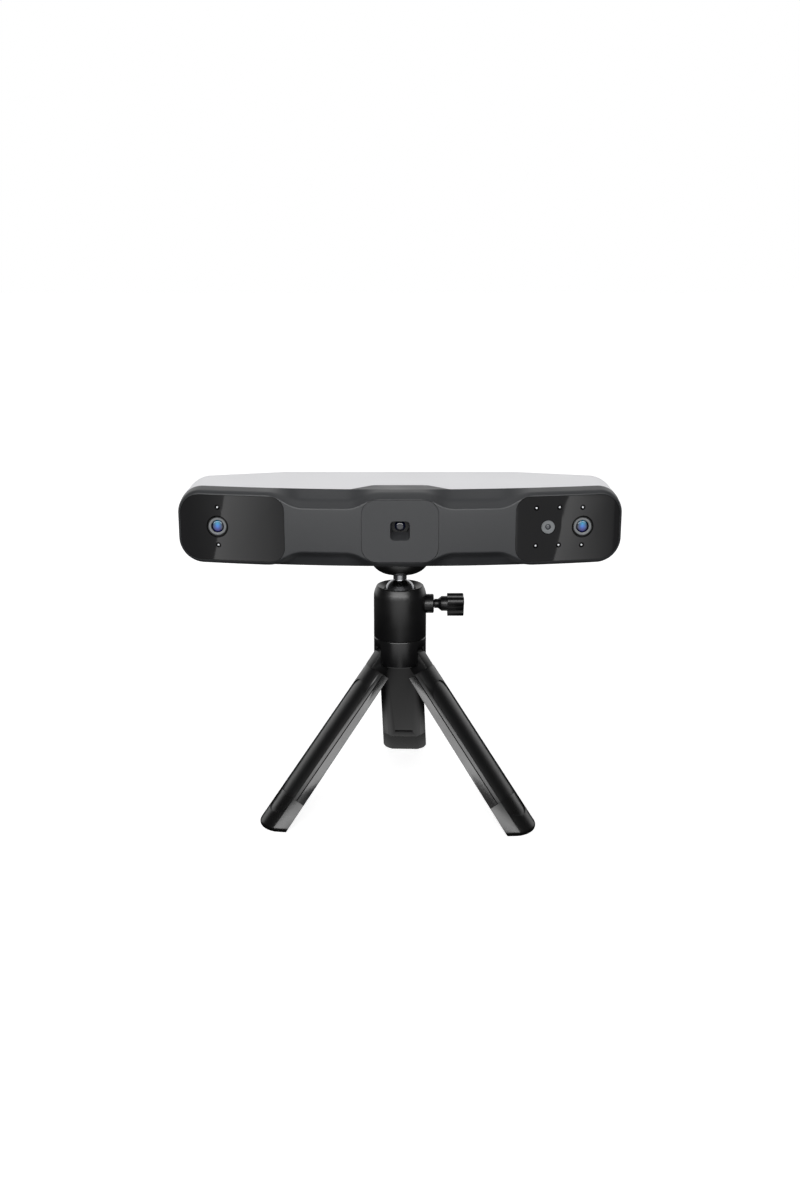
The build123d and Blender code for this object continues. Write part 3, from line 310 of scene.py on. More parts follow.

# %% [markdown]
# ## Pieces and skins
#
# A piece is a mesh that moves with one of the tripod's or scanner's bodies. `make_piece` links it,
# gives it its finish and hides the solids it stands for. Two ways of making pieces follow:
#
# - `softened` copies a solid, joins its loose triangles and rounds its sharp edges. Real edges are
#   never perfectly sharp, and the thin line of light along them is most of what the eye reads.
# - `ring_skin` lays a skin over a row of outlines, for shapes that change along their length.

# %% Helpers for pieces
bare_collection = bpy.context.scene.collection


def make_piece(name, mesh, body, material, stands_for=()):
    """Links a finished mesh as a piece that moves with a body."""
    piece = bpy.data.objects.new(name, mesh)
    bare_collection.objects.link(piece)
    mesh.materials.clear()
    mesh.materials.append(material)
    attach(piece, body)
    if stands_for:
        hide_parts(*stands_for)
    print(f"{name}: {len(mesh.polygons)} faces on {body}")
    return piece


def plain_mesh(name, source, sharp_angle=35):
    """The evaluated mesh of an object, smooth except at sharp edges. Removes the object."""
    bpy.context.view_layer.update()
    evaluated = source.evaluated_get(bpy.context.evaluated_depsgraph_get())
    mesh = bpy.data.meshes.new_from_object(evaluated)
    mesh.name = name
    mesh.shade_smooth()
    mesh.set_sharp_from_angle(angle=radians(sharp_angle))
    bpy.data.objects.remove(source)
    return mesh


def with_modifier(mesh, kind, **settings):
    """A throwaway object that carries a mesh and one modifier."""
    carrier = bpy.data.objects.new("carrier", mesh)
    bare_collection.objects.link(carrier)
    modifier = carrier.modifiers.new(kind.lower(), kind)
    for name, value in settings.items():
        setattr(modifier, name, value)
    return carrier


def merged_copy(node_name):
    """A solid's mesh with its loose triangles joined and its flat faces made whole."""
    mesh = nodes[node_name].data.copy()
    work = bmesh.new()
    work.from_mesh(mesh)
    bmesh.ops.remove_doubles(work, verts=work.verts, dist=0.001 * MM)
    bmesh.ops.dissolve_limit(work, angle_limit=radians(0.4), verts=work.verts, edges=work.edges)
    work.to_mesh(mesh)
    work.free()
    return mesh


def rounded_mesh(mesh, name, width, segments=2, edge_angle=40):
    """A mesh with its sharp edges rounded to a width in mm."""
    carrier = with_modifier(mesh, "BEVEL", width=width * MM, segments=segments,
                            limit_method="ANGLE", angle_limit=radians(edge_angle),
                            use_clamp_overlap=True, harden_normals=False)
    return plain_mesh(name, carrier)


def softened(node_name, body, material, width, segments=2):
    """A skin for a solid: the same shape with rounded edges."""
    mesh = rounded_mesh(merged_copy(node_name), node_name + "_skin", width, segments)
    return make_piece(node_name + "_skin", mesh, body, material, (node_name,))


def mesh_of(name, points, faces):
    """A mesh from points in metres and faces, with its normals turned outwards."""
    mesh = bpy.data.meshes.new(name)
    mesh.from_pydata(points, [], faces)
    work = bmesh.new()
    work.from_mesh(mesh)
    bmesh.ops.remove_doubles(work, verts=work.verts, dist=0.0001 * MM)
    bmesh.ops.recalc_face_normals(work, faces=work.faces)
    work.to_mesh(mesh)
    work.free()
    return mesh


def ring_skin(rings):
    """Faces between a row of equal closed rings of points. Returns points and faces."""
    count = len(rings[0])
    points = [point for ring in rings for point in ring]
    faces = []
    for row in range(len(rings) - 1):
        for i in range(count):
            j = (i + 1) % count
            faces.append((row * count + i, row * count + j,
                          (row + 1) * count + j, (row + 1) * count + i))
    return points, faces


def cut(mesh, cutters):
    """A mesh after exact cuts with other closed meshes."""
    for cutter in cutters:
        tool = bpy.data.objects.new("cutter", cutter)
        bare_collection.objects.link(tool)
        carrier = with_modifier(mesh, "BOOLEAN", object=tool, operation="DIFFERENCE",
                                solver="EXACT")
        mesh = plain_mesh(mesh.name, carrier)
        bpy.data.objects.remove(tool)
    return mesh


print("helpers ready")

# %% [markdown]
# ## The bezel
#
# The dark front of the bar is one moulding. Its face is bowed, so all windows look slightly
# outwards, and it is pinched between the windows and the projector: there the face gets lower and
# the surface behind it sinks into a scoop. A modeller could push and pull a box into this shape.
# Here the shape follows a rule instead, and a rule gives clean curves: three outlines at three
# depths, each with its own height along the bar, joined by a skin. The corners of the outlines and
# of the section are rounded by short curves, and that makes the bright line round the face.

# %% Bezel outlines
FACE_Y, BOW_R, PARTING = -21.0, 325.0, 5.1
HALF_W, HALF_H, END_R = 76.5, 13.4, 9.0
FACE_EDGE_W, SLOPE_W = 75.9, 76.35
FACE_END_R, SLOPE_END_R = 7.4, 8.4
FACE_HALF = [(0, 11.0), (9.3, 11.0), (16.0, 7.65), (35.6, 7.65), (43.0, 11.65), (99, 11.65)]
SLOPE_HALF = [(0, 12.9), (9.3, 12.9), (16.0, 9.8), (35.6, 9.8), (43.0, 12.7), (99, 12.7)]
SLOPE_BACK = [(0, 2.2), (9.3, 2.2), (16.0, 3.0), (35.6, 3.0), (43.0, 1.0), (99, 1.0)]
TURN_SPREAD = 2.4
STRAIGHT_X, STEP_X = 66.0, 0.6


def bow(x):
    """Depth of the bowed face at x."""
    return FACE_Y + BOW_R - sqrt(BOW_R ** 2 - x * x)


def along(stations, x):
    """A value between stations, by straight runs."""
    x = abs(x)
    for (x0, v0), (x1, v1) in zip(stations, stations[1:]):
        if x <= x1:
            return v0 + (v1 - v0) * (x - x0) / (x1 - x0)
    return stations[-1][1]


def eased(stations, x, spread=TURN_SPREAD):
    """The same with its corners rounded, by averaging over a short stretch."""
    steps = [k / 4 for k in range(-4, 5)]
    return sum(along(stations, x + spread * k) for k in steps) / len(steps)


def half_outline(half_w, corner_r, half_at, inset=0.0):
    """Upper half of an outline, from its left middle over the top to its right middle."""
    centre_x = half_w - corner_r
    centre_z = half_at(HALF_W) - corner_r
    radius = corner_r - inset
    side = [(half_w - inset, centre_z * k / 4) for k in range(4)]
    arc = [(centre_x + radius * cos(radians(a)), centre_z + radius * sin(radians(a)))
           for a in range(0, 91, 5)]
    reach = int(STRAIGHT_X / STEP_X)
    run = [(STEP_X * k, half_at(STEP_X * k) - inset) for k in range(reach, 0, -1)]
    right = side + arc + run
    return [(-x, z) for x, z in right] + [(0.0, half_at(0) - inset)] + right[::-1]


def face_half(x):
    """Half height of the face at x."""
    return eased(FACE_HALF, x)


def slope_half(x):
    """Half height of the scoop's middle line at x."""
    return eased(SLOPE_HALF, x)


def slope_back(x):
    """Depth of that line behind the face at x."""
    return eased(SLOPE_BACK, x)


def level_half(x):
    """Half height of the parting line, the same all along."""
    return HALF_H


face_ring = half_outline(FACE_EDGE_W, FACE_END_R, face_half)
slope_ring = half_outline(SLOPE_W, SLOPE_END_R, slope_half)
parting_ring = half_outline(HALF_W, END_R, level_half)
print("samples along an outline:", len(face_ring))

# %% [markdown]
# Between the outlines the section is rounded. A corner is replaced by a short curve that starts
# and ends a set distance from it, the way a fillet does.

# %% Bezel skin
EDGE_ROUND, SLOPE_ROUND, ROOM_SHARE = 0.55, 0.9, 0.42
FACE_RIM, WALL, PLATE = 1.0, 1.8, 3.6


def bend(before, corner, after, setback, count):
    """A short curve in place of a corner."""
    start = corner + (before - corner).normalized() * setback
    end = corner + (after - corner).normalized() * setback
    return [start * (1 - t) ** 2 + corner * 2 * t * (1 - t) + end * t * t
            for t in [k / count for k in range(count + 1)]]


def deep(outline, back):
    """An outline's points at a depth behind the bowed face. back is a number or follows x."""
    return [Vector((x, bow(x) + (back(x) if callable(back) else back), z)) for x, z in outline]


inside_face = deep(half_outline(FACE_EDGE_W, FACE_END_R, face_half, FACE_RIM), 0.0)
edge_line = deep(face_ring, 0.0)
slope_line = deep(slope_ring, slope_back)
parting_line = deep(parting_ring, PARTING)
sections = []
for inner, edge, middle, rear in zip(inside_face, edge_line, slope_line, parting_line):
    room = min((middle - edge).length, (rear - middle).length)
    sections.append(
        bend(inner, edge, middle, EDGE_ROUND, 5)
        + bend(edge, middle, rear, min(SLOPE_ROUND, ROOM_SHARE * room), 4) + [rear])
rear_rim = deep(half_outline(HALF_W, END_R, level_half, WALL), PARTING)
plate_rim = deep(half_outline(SLOPE_W, SLOPE_END_R, slope_half, WALL), PLATE)
sections = [run + [rim, plate] for run, rim, plate in zip(sections, rear_rim, plate_rim)]


def bar_points(rows):
    """Scanner points in mm to metres."""
    return [at_scanner(*point) for point in rows]


def mirrored_ring(upper):
    """Closes an upper row of points with its mirror image."""
    return upper + [Vector((p.x, p.y, -p.z)) for p in upper[-2:0:-1]]


def bowed_solid(rings):
    """A closed solid over mirrored rings. Upright strips fill its first and last rings."""
    full = [bar_points(mirrored_ring(ring)) for ring in rings]
    points, faces = ring_skin(full)
    count, half = len(full[0]), len(rings[0])
    for start in (0, (len(full) - 1) * count):
        for i in range(half - 1):
            lower = [(count - i) % count, (count - i - 1) % count]
            faces.append([start + k for k in dict.fromkeys((i, i + 1, lower[1], lower[0]))])
    return points, faces


bezel_rings = [[run[k] for run in sections] for k in range(len(sections[0]))]
bezel_mesh = mesh_of("bezel_skin", *bowed_solid(bezel_rings))
print("bezel before its openings:", len(bezel_mesh.polygons), "faces")

# %% [markdown]
# The openings are cut after that: a shallow recess for each window and for the centre panel, the
# ports behind the windows, and the projector's tapering throat. Each cutter is a slab that follows
# the bow, so every recess has an even depth.

# %% Bezel openings
WINDOW_INNER_X, WINDOW_OUTER_X, WINDOW_HALF = 39.3, 75.3, 11.25
WINDOW_INNER_R, WINDOW_OUTER_R = 4.8, 6.8
WINDOW_T, PANEL_T, SEAM = 1.0, 0.8, 0.12
PANEL_W, PANEL_H, PANEL_R = 26.0, 21.4, 5.1


def rounded_upper(left, right, half, left_r, right_r):
    """Upper half of a rounded rectangle, from its left middle to its right middle."""
    quarter = [radians(a) for a in range(0, 91, 6)]
    rise_left = [(left, (half - left_r) * k / 3) for k in range(3)]
    arc_left = [(left + left_r - left_r * cos(a), half - left_r + left_r * sin(a))
                for a in quarter]
    span = (right - right_r) - (left + left_r)
    top = [(left + left_r + span * k / 24, half) for k in range(1, 24)]
    arc_right = [(right - right_r + right_r * sin(a), half - right_r + right_r * cos(a))
                 for a in quarter]
    fall_right = [(right, (half - right_r) * k / 3) for k in range(2, -1, -1)]
    return rise_left + arc_left + top + arc_right + fall_right


def slab(name, upper, front, back):
    """A slab of a mirrored outline between two depths behind the bowed face."""
    return mesh_of(name, *bowed_solid([deep(upper, front), deep(upper, back)]))


def window_upper(side, grow):
    """Upper half of a window's outline: the outer corners are wider."""
    left, right = WINDOW_INNER_X - grow, WINDOW_OUTER_X + grow
    radii = (WINDOW_INNER_R + grow, WINDOW_OUTER_R + grow)
    if side < 0:
        left, right, radii = -right, -left, radii[::-1]
    return rounded_upper(left, right, WINDOW_HALF + grow, *radii)


PROJECTOR_W, PROJECTOR_H, PROJECTOR_R = 6.8, 7.0, 1.4
THROAT_W, THROAT_H, THROAT_R, THROAT_Z = 5.8, 4.4, 1.2, 1.2
THROAT_START, TAPER_END, THROAT_END = -0.5, 3.5, 9.0
CUT_FRONT, PORT_DEPTH = -2.0, 8.0


def rounded_loop(width, height, radius, y, z):
    """A rounded rectangle of points at one depth."""
    half_w, half_h = width / 2 - radius, height / 2 - radius
    corners = [(half_w, half_h, 0), (-half_w, half_h, 90), (-half_w, -half_h, 180),
               (half_w, -half_h, 270)]
    turns = [(cx, cz, radians(start + a)) for cx, cz, start in corners for a in range(0, 91, 9)]
    return [at_scanner(cx + radius * cos(turn), y, z + cz + radius * sin(turn))
            for cx, cz, turn in turns]


def capped(rings):
    """Points and faces of a skin with both ends closed."""
    points, faces = ring_skin(rings)
    count = len(rings[0])
    faces.append(list(range(count)))
    faces.append([len(points) - count + k for k in range(count)])
    return points, faces


def throat_cutter():
    """The projector's opening: it tapers at first and then keeps its size."""
    rings = []
    for depth in (THROAT_START, TAPER_END, THROAT_END):
        share = (min(depth, TAPER_END) - THROAT_START) / (TAPER_END - THROAT_START)
        rings.append(rounded_loop(PROJECTOR_W + (THROAT_W - PROJECTOR_W) * share,
                                  PROJECTOR_H + (THROAT_H - PROJECTOR_H) * share,
                                  PROJECTOR_R + (THROAT_R - PROJECTOR_R) * share,
                                  FACE_Y + depth, THROAT_Z * share))
    return mesh_of("throat", *capped(rings))


PORT_X, PORT_W, PORT_H, PORT_R = 58.0, 27.0, 17.2, 1.8
panel_half = PANEL_W / 2 + SEAM
panel_upper = rounded_upper(-panel_half, panel_half, PANEL_H / 2 + SEAM, PANEL_R, PANEL_R)
cutters = [throat_cutter(), slab("panel_recess", panel_upper, CUT_FRONT, PANEL_T)]
for side in (-1, 1):
    port_upper = rounded_upper(side * PORT_X - PORT_W / 2, side * PORT_X + PORT_W / 2,
                               PORT_H / 2, PORT_R, PORT_R)
    cutters.append(slab("window_recess", window_upper(side, SEAM), CUT_FRONT, WINDOW_T))
    cutters.append(slab("camera_port", port_upper, CUT_FRONT, PORT_DEPTH))
bezel_mesh = cut(bezel_mesh, cutters)
make_piece("bezel_skin", bezel_mesh, "scanner", bezel_abs, ("front_bezel",))

# %% [markdown]
# A matt black sleeve lines the narrow part of the projector's opening, so that it shows black. Its
# section is a thin closed outline of gap to the wall against depth.

# %% Projector sleeve
SLEEVE = ((0.04, 3.7), (0.44, 3.55), (0.44, 8.8), (0.04, 8.8), (0.04, 3.7))
sleeve_rings = [rounded_loop(THROAT_W - gap, THROAT_H - gap, THROAT_R - gap / 2,
                             FACE_Y + depth, THROAT_Z) for gap, depth in SLEEVE]
make_piece("projector_sleeve", mesh_of("projector_sleeve", *ring_skin(sleeve_rings)), "scanner",
           optics_black)

# %% [markdown]
# A tongue of the same moulding reaches back over the middle of the silver top. It is level with
# the shell and ends in two rounded corners.

# %% Bezel tongue
TONGUE_REAR = [(0, -7.8), (9.0, -7.8), (22.5, -21.0)]
TONGUE_HALF_X, TONGUE_T, TONGUE_EDGE = 17.0, 2.0, 0.2
TONGUE_ROUND, TONGUE_STEPS = 1.6, 34
TONGUE_GAP, TONGUE_LEAST = 0.06, 0.02


def tongue_points(inset, height):
    """Columns of the tongue at one height: rear edge, then the parting line in front."""
    columns = []
    for k in range(-TONGUE_STEPS, TONGUE_STEPS + 1):
        x = TONGUE_HALF_X * k / TONGUE_STEPS
        front = bow(x) + PARTING
        rear = max(eased(TONGUE_REAR, x, TONGUE_ROUND) - inset, front + TONGUE_LEAST)
        columns.append((at_scanner(x, rear, height), at_scanner(x, front, height)))
    return columns


tongue_rings = []
for inset, height in ((TONGUE_GAP, HALF_H - TONGUE_T), (TONGUE_GAP, HALF_H - TONGUE_EDGE),
                      (2 * TONGUE_GAP, HALF_H - TONGUE_GAP),
                      (TONGUE_GAP + TONGUE_EDGE, HALF_H)):
    columns = tongue_points(inset, height)
    rears = [rear for rear, front in columns]
    fronts = [front for rear, front in columns]
    tongue_rings.append(rears + fronts[::-1])
points, faces = ring_skin(tongue_rings)
count = len(tongue_rings[0])
for start in (0, (len(tongue_rings) - 1) * count):
    for i in range(count // 2 - 1):
        faces.append((start + i, start + i + 1, start + count - 2 - i, start + count - 1 - i))
make_piece("bezel_tongue", mesh_of("bezel_tongue", points, faces), "scanner", bezel_abs)

# %% [markdown]
# ## Softened edges on the small parts
#
# The tripod's solids have the right shape but knife-sharp edges. Each gets a skin whose edges are
# rounded by 0.3 mm or less, which is what a mould or a tumbling barrel leaves.
#
# The back of each leg is a long panel between two flat edges. Painted shade stands for a fine
# groove
# along each flat edge: a thin black bar that lies 0.03 mm proud of it. The panel inside has a drier
# finish than the edges. `leg_axes` gives a leg's own directions, so both follow the leg at its
# angle.

# %% Tripod skins
LEG_SPREAD, LEG_FLAT_EDGE, LEG_GAP, LEG_PIN_R = 38.8, 5.7, 0.2, 5.86
LEG_TOP, LEG_TIP = 6.0, 78.0
LEG_R_TOP, LEG_R_TIP = 9.4, 10.3
# Where each groove lies, and the size and length of the black bar of painted shade in it.
GROOVE_AT, GROOVE_SHADE_WIDE, GROOVE_SHADE_DEEP, GROOVE_SHADE_PROUD = 6.5, 0.36, 0.3, 0.03
GROOVE_SHADE_START, GROOVE_SHADE_END = 6.3, 59.9
PANEL_ROUGHNESS, PANEL_FADE = 0.34, 0.1
HEADINGS = {"left_leg": 207.7, "right_leg": 327.7, "rear_leg": 87.7}


def leg_axes(heading):
    """Directions of an open leg that points to a heading: down it, out of its back and beside."""
    turn, spread = radians(heading), radians(LEG_SPREAD)
    outward, up = Vector((cos(turn), sin(turn), 0.0)), Vector((0.0, 0.0, 1.0))
    return (outward * sin(spread) - up * cos(spread), outward * cos(spread) + up * sin(spread),
            Vector((-sin(turn), cos(turn), 0.0)))


def groove_shade_bar(name, pin, heading, side):
    """A thin black bar of painted groove shade that runs along one flat edge of a leg's back."""
    down_way, outside, beside = leg_axes(heading)
    rings = []
    for down in (GROOVE_SHADE_START, GROOVE_SHADE_END):
        radius = LEG_R_TOP + (LEG_R_TIP - LEG_R_TOP) * (down - LEG_TOP) / (LEG_TIP - LEG_TOP)
        inner = Vector((sqrt(radius ** 2 - LEG_FLAT_EDGE ** 2), LEG_FLAT_EDGE))
        reach = (sqrt(3) * LEG_GAP + sqrt(radius ** 2 - LEG_GAP ** 2)) / 2
        slope = (Vector((reach, sqrt(3) * reach - 2 * LEG_GAP)) - inner).normalized()
        middle = inner + slope * ((GROOVE_AT - LEG_FLAT_EDGE) / slope.y)
        normal = Vector((slope.y, -slope.x))
        section = ((GROOVE_SHADE_PROUD, 1), (GROOVE_SHADE_PROUD, -1), (-GROOVE_SHADE_DEEP, -1), (-GROOVE_SHADE_DEEP, 1))
        corners = (middle + normal * rise + slope * wide * GROOVE_SHADE_WIDE / 2 for rise, wide in section)
        rings.append([pin + (down_way * down + outside * (corner.x - LEG_PIN_R)
                             + beside * side * corner.y) * MM for corner in corners])
    return mesh_of(name, *capped(rings))


def leg_nylon(name, heading):
    """Nylon for the leg that points to a heading: the panel between its two groove lines is drier.
    """
    material = moulded(name, "#070708", "#0b0b0c", 0.22, IOR=1.64)
    tree = material.node_tree
    shader = next(node for node in tree.nodes if node.type == "BSDF_PRINCIPLED")
    place = add(tree, "ShaderNodeTexCoord").outputs["Object"]
    from_column = add(tree, "ShaderNodeVectorMath", {0: place, 1: at_column(0, 0, 0)},
                      operation="SUBTRACT").outputs["Vector"]
    aside = add(tree, "ShaderNodeVectorMath", {
        0: from_column, 1: leg_axes(heading)[2]}, operation="DOT_PRODUCT").outputs["Value"]
    across = arithmetic(tree, "ABSOLUTE", aside)
    drier = ramped(tree, across, (GROOVE_AT - PANEL_FADE) * MM, GROOVE_AT * MM, PANEL_ROUGHNESS, 0.0)
    sheen = shader.inputs["Roughness"].links[0].from_socket
    tree.links.new(arithmetic(tree, "MAXIMUM", sheen, drier), shader.inputs["Roughness"])
    return material


# Painted shade: these black bars stand for the shade in the grooves.
painted_groove_shade = moulded("painted_groove_shade_black", "#030304", "#050506", 0.7, IOR=1.2)
pins = {joint["child"]: Vector(joint["pos_m"])
        for joint in frame["record"]["behaviour"]["joints"] if joint["name"].endswith("_fold")}
for leg, heading in HEADINGS.items():
    softened(leg, leg, leg_nylon(leg + "_nylon", heading), 0.12, 2)
    for side, word in ((-1, "first"), (1, "second")):
        name = leg + "_" + word + "_groove_shade"
        make_piece(name, groove_shade_bar(name, pins[leg], heading, side), leg, painted_groove_shade)
    softened(leg.replace("leg", "foot"), leg, foot_rubber, 0.3, 3)
softened("hub", "head", tripod_nylon, 0.15)
softened("head_housing", "head", head_black, 0.15)
softened("clamp_collar", "head", knob_nylon, 0.15)
softened("clamp_knob", "clamp_knob", knob_nylon, 0.18, 3)
softened("platform", "ball", head_black, 0.2)

# %% [markdown]
# ## Turned rings
#
# Each camera barrel ends in a ring that holds its lens. A ring is a small closed outline of radius
# against depth, swept once round the lens's axis.

# %% Lens rings


def turned_ring(name, centre, outline, steps=72):
    """A ring about a front-to-back axis. outline holds (radius, depth) in mm, in order."""
    rings = []
    for radius, depth in outline + outline[:1]:
        rings.append([at_scanner(centre[0] + radius * cos(2 * pi * k / steps), depth,
                                 centre[1] + radius * sin(2 * pi * k / steps))
                      for k in range(steps)])
    return mesh_of(name, *ring_skin(rings))


RING_EDGE, RING_DEPTH = 0.12, 0.45
ring_grey = moulded("grey_barrel_ring", "#787b7d", "#828587", 0.4, IOR=1.5)
for name, centre, inner, outer, front in (
        ("left_camera_ring", (-62.4, 0.35), 2.15, 3.0, -14.78),
        ("right_camera_ring", (62.4, 0.35), 2.15, 3.0, -14.78),
        ("colour_camera_ring", (50.4, 0.57), 0.9, 2.3, -16.9)):
    outline = [(inner, front + RING_DEPTH), (inner, front + 0.2),
               (inner + RING_EDGE, front + 0.05), (inner + 0.3, front),
               (outer - RING_EDGE, front), (outer, front + RING_EDGE),
               (outer, front + RING_DEPTH)]
    make_piece(name, turned_ring(name, centre, outline), "scanner", ring_grey)

# %% [markdown]
# ## Repeated small parts
#
# Eight lamps and two rows of contacts are the same small shape at many places. A node group puts
# the shape on every point of a mesh, which is how such repeats are made in Blender by hand too.

# %% A node group that repeats a shape


def repeat_group(name, shape_kind):
    """Nodes that put one shape, one unit wide, on every point and scale it to a size."""
    group = bpy.data.node_groups.new(name, "GeometryNodeTree")
    for socket, kind in (("Points", "Geometry"), ("Size", "Vector"), ("Finish", "Material")):
        group.interface.new_socket(socket, in_out="INPUT", socket_type="NodeSocket" + kind)
    group.interface.new_socket("Geometry", in_out="OUTPUT", socket_type="NodeSocketGeometry")
    given = add(group, "NodeGroupInput").outputs
    unit = {"Radius": 0.5, "Segments": 24, "Rings": 14} if shape_kind.endswith("Sphere") else {}
    shape = add(group, shape_kind, unit).outputs["Mesh"]
    placed = add(group, "GeometryNodeInstanceOnPoints", {
        "Points": given["Points"], "Instance": shape, "Scale": given["Size"]}).outputs["Instances"]
    real = add(group, "GeometryNodeRealizeInstances", {"Geometry": placed}).outputs["Geometry"]
    done = add(group, "GeometryNodeSetMaterial", {"Geometry": real, "Material": given["Finish"]})
    add(group, "NodeGroupOutput", {"Geometry": done.outputs["Geometry"]})
    return group


def repeated(name, group, points, size, body, material):
    """One piece made of a shape repeated at points in mm, measured from the scanner."""
    mesh = bpy.data.meshes.new(name + "_places")
    mesh.from_pydata([at_scanner(*point) for point in points], [], [])
    carrier = with_modifier(mesh, "NODES", node_group=group)
    sockets = {item.name: item.identifier for item in group.interface.items_tree
               if item.in_out == "INPUT"}
    carrier.modifiers[0][sockets["Size"]] = [value * MM for value in size]
    carrier.modifiers[0][sockets["Finish"]] = material
    return make_piece(name, plain_mesh(name, carrier), body, material)


beads = repeat_group("Beads on points", "GeometryNodeMeshUVSphere")
bars = repeat_group("Bars on points", "GeometryNodeMeshCube")
led_window = moulded("dark_epoxy_led", "#050506", "#070708", 0.6, IOR=1.3)
# Each lamp is a black dome with a small white bead just in front of it. The bead is a painted
# highlight: the glint of light on the lamp's dome.
led_painted_glint = moulded("painted_led_glint_white", "#e9ecf0", "#f2f4f6", 0.1, IOR=1.55)
LED_PLACES = [(46.2, -17.7, 7.42), (46.2, -17.7, -5.68), (54.15, -16.46, 7.42),
              (54.15, -16.46, -5.68), (62.2, -14.99, 7.12), (62.2, -14.99, -5.98),
              (-62.2, -14.99, 7.12), (-62.2, -14.99, -5.98)]
LED_BODIES = [(x, y + 0.02, z) for x, y, z in LED_PLACES]
LED_GLINT_PLACES = [(x, y - 0.12, z) for x, y, z in LED_PLACES]
LED_BODY_SIZE, LED_GLINT_SIZE = (1.8, 0.5, 1.8), (0.76, 0.4, 0.76)
led_body = moulded("black_led_body", "#030304", "#050506", 0.6, IOR=1.2)
repeated("led_bodies", beads, LED_BODIES, LED_BODY_SIZE, "scanner", led_body)
repeated("led_painted_glints", beads, LED_GLINT_PLACES, LED_GLINT_SIZE, "scanner", led_painted_glint)

gold = blasted_metal("gold_plating", "#c8a24a", "#d4b05c", 0.25, grain=0.3)
tongue_black = moulded("black_lcp_tongue", "#101011", "#151516", 0.5, IOR=1.55)
USB_X, CONTACT_ROW, CONTACT_PITCH = -26.0, 12, 0.5
TONGUE_SIZE, CONTACT_SIZE = (6.7, 4.2, 0.7), (0.26, 3.2, 0.06)
repeated("usb_tongue", bars, [(USB_X, 17.3, 0.0)], TONGUE_SIZE, "scanner", tongue_black)
CONTACTS = [(USB_X + CONTACT_PITCH * (k - (CONTACT_ROW - 1) / 2), 17.6, height)
            for k in range(CONTACT_ROW) for height in (-0.36, 0.36)]
repeated("usb_contacts", bars, CONTACTS, CONTACT_SIZE, "scanner", gold)

# %% [markdown]
# The three buttons carry the usual marks: a plus, a minus and a ring for start.

# %% Marks on the buttons
mark_white = moulded("white_pad_print", "#c9cacc", "#d2d3d5", 0.5, IOR=1.5)
BUTTON_X, BUTTON_BACK = 13.0, 21.3
MARK_LONG, MARK_WIDE, MARK_T = 2.6, 0.45, 0.04
UPRIGHT_LONG, UPRIGHT_Z = 1.08, 0.76
START_INNER, START_OUTER = 1.75, 2.15
level_bar, upright_bar = (MARK_LONG, MARK_T, MARK_WIDE), (MARK_WIDE, MARK_T, UPRIGHT_LONG)
uprights = [(BUTTON_X, BUTTON_BACK, z) for z in (UPRIGHT_Z, -UPRIGHT_Z)]
repeated("minus_mark", bars, [(-BUTTON_X, BUTTON_BACK, 0.0)], level_bar, "minus_button",
         mark_white)
repeated("plus_mark", bars, [(BUTTON_X, BUTTON_BACK, 0.0)], level_bar, "plus_button", mark_white)
repeated("plus_mark_upright", bars, uprights, upright_bar, "plus_button", mark_white)
mark_front, mark_back = BUTTON_BACK - MARK_T / 2, BUTTON_BACK + MARK_T / 2
ring_outline = [(START_INNER, mark_front), (START_INNER, mark_back), (START_OUTER, mark_back),
                (START_OUTER, mark_front)]
make_piece("start_mark", turned_ring("start_mark", (0.0, 0.0), ring_outline), "start_button",
           mark_white)

# %% [markdown]
# ## Finishes for the solids that stay
#
# Every solid that no skin stands for shows as it is, so each gets the finish of what it is made of.

# %% Finishes by solid
# Each lens's colour is a painted reflection: blue and violet on the two cameras, grey on the colour
# camera, nearly black on the projector.
BLUE_PAINTED_REFLECTION = ((0.0, "#120c3c"), (1.0, "#0f3c4c"), (0.25, "#1a1e86"), (0.5, "#2a78e0"),
             (0.72, "#1f9fd0"))
DARK_PAINTED_REFLECTION = ((0.0, "#06080c"), (1.0, "#0a0f16"))
GREY_PAINTED_REFLECTION = ((0.0, "#303438"), (1.0, "#5a5f64"))
lens_glass = {}
for node_name, centre, radius in (
        ("left_camera_lens", at_scanner(-62.4, 0, 0.35), 2.2),
        ("right_camera_lens", at_scanner(62.4, 0, 0.35), 2.2),
        ("colour_camera_lens", at_scanner(50.4, 0, 0.57), 0.9),
        ("projector_lens", at_scanner(0, 0, 1.2), 1.9)):
    stops = {"projector_lens": DARK_PAINTED_REFLECTION, "colour_camera_lens": GREY_PAINTED_REFLECTION}.get(node_name, BLUE_PAINTED_REFLECTION)
    lens_glass[node_name] = lens_with_painted_reflection("painted_reflection_" + node_name, centre, radius, stops)
finishes = {
    "rear_shell": shell_anodised, "left_window": window_acrylic, "right_window": window_acrylic,
    "centre_panel": bezel_abs, "optical_bench": bench_aluminium, "left_camera": optics_black,
    "right_camera": optics_black, "colour_camera": optics_black, "projector": optics_black,
    "left_led_board": chip_epoxy, "right_led_board": chip_epoxy, "flash_leds": led_window,
    "infrared_leds": led_window, "main_board": solder_mask, "board_chips": chip_epoxy,
    "heat_spreader": bench_aluminium, "board_standoffs": thread_brass, "small_screws": screw_steel,
    "ribbon_cables": polyimide, "rear_board": solder_mask, "tact_switches": chip_epoxy,
    "start_button": button_abs, "minus_button": button_abs, "plus_button": button_abs,
    "status_light": light_guide, "usb_socket": socket_steel, "thread_insert": thread_brass,
    "ball_stud": ball_steel, "platform_pad": pad_rubber, "camera_screw": screw_steel,
    "ball_seat": knob_nylon, "spring_washer": screw_steel, "head_grub_screw": screw_steel,
    "clamp_shoe": screw_steel, "hinge_pins": screw_steel, **lens_glass}
for node_name, material in finishes.items():
    node = nodes[node_name]
    node.data.materials.clear()
    node.data.materials.append(material)
print("finished solids:", len(finishes))

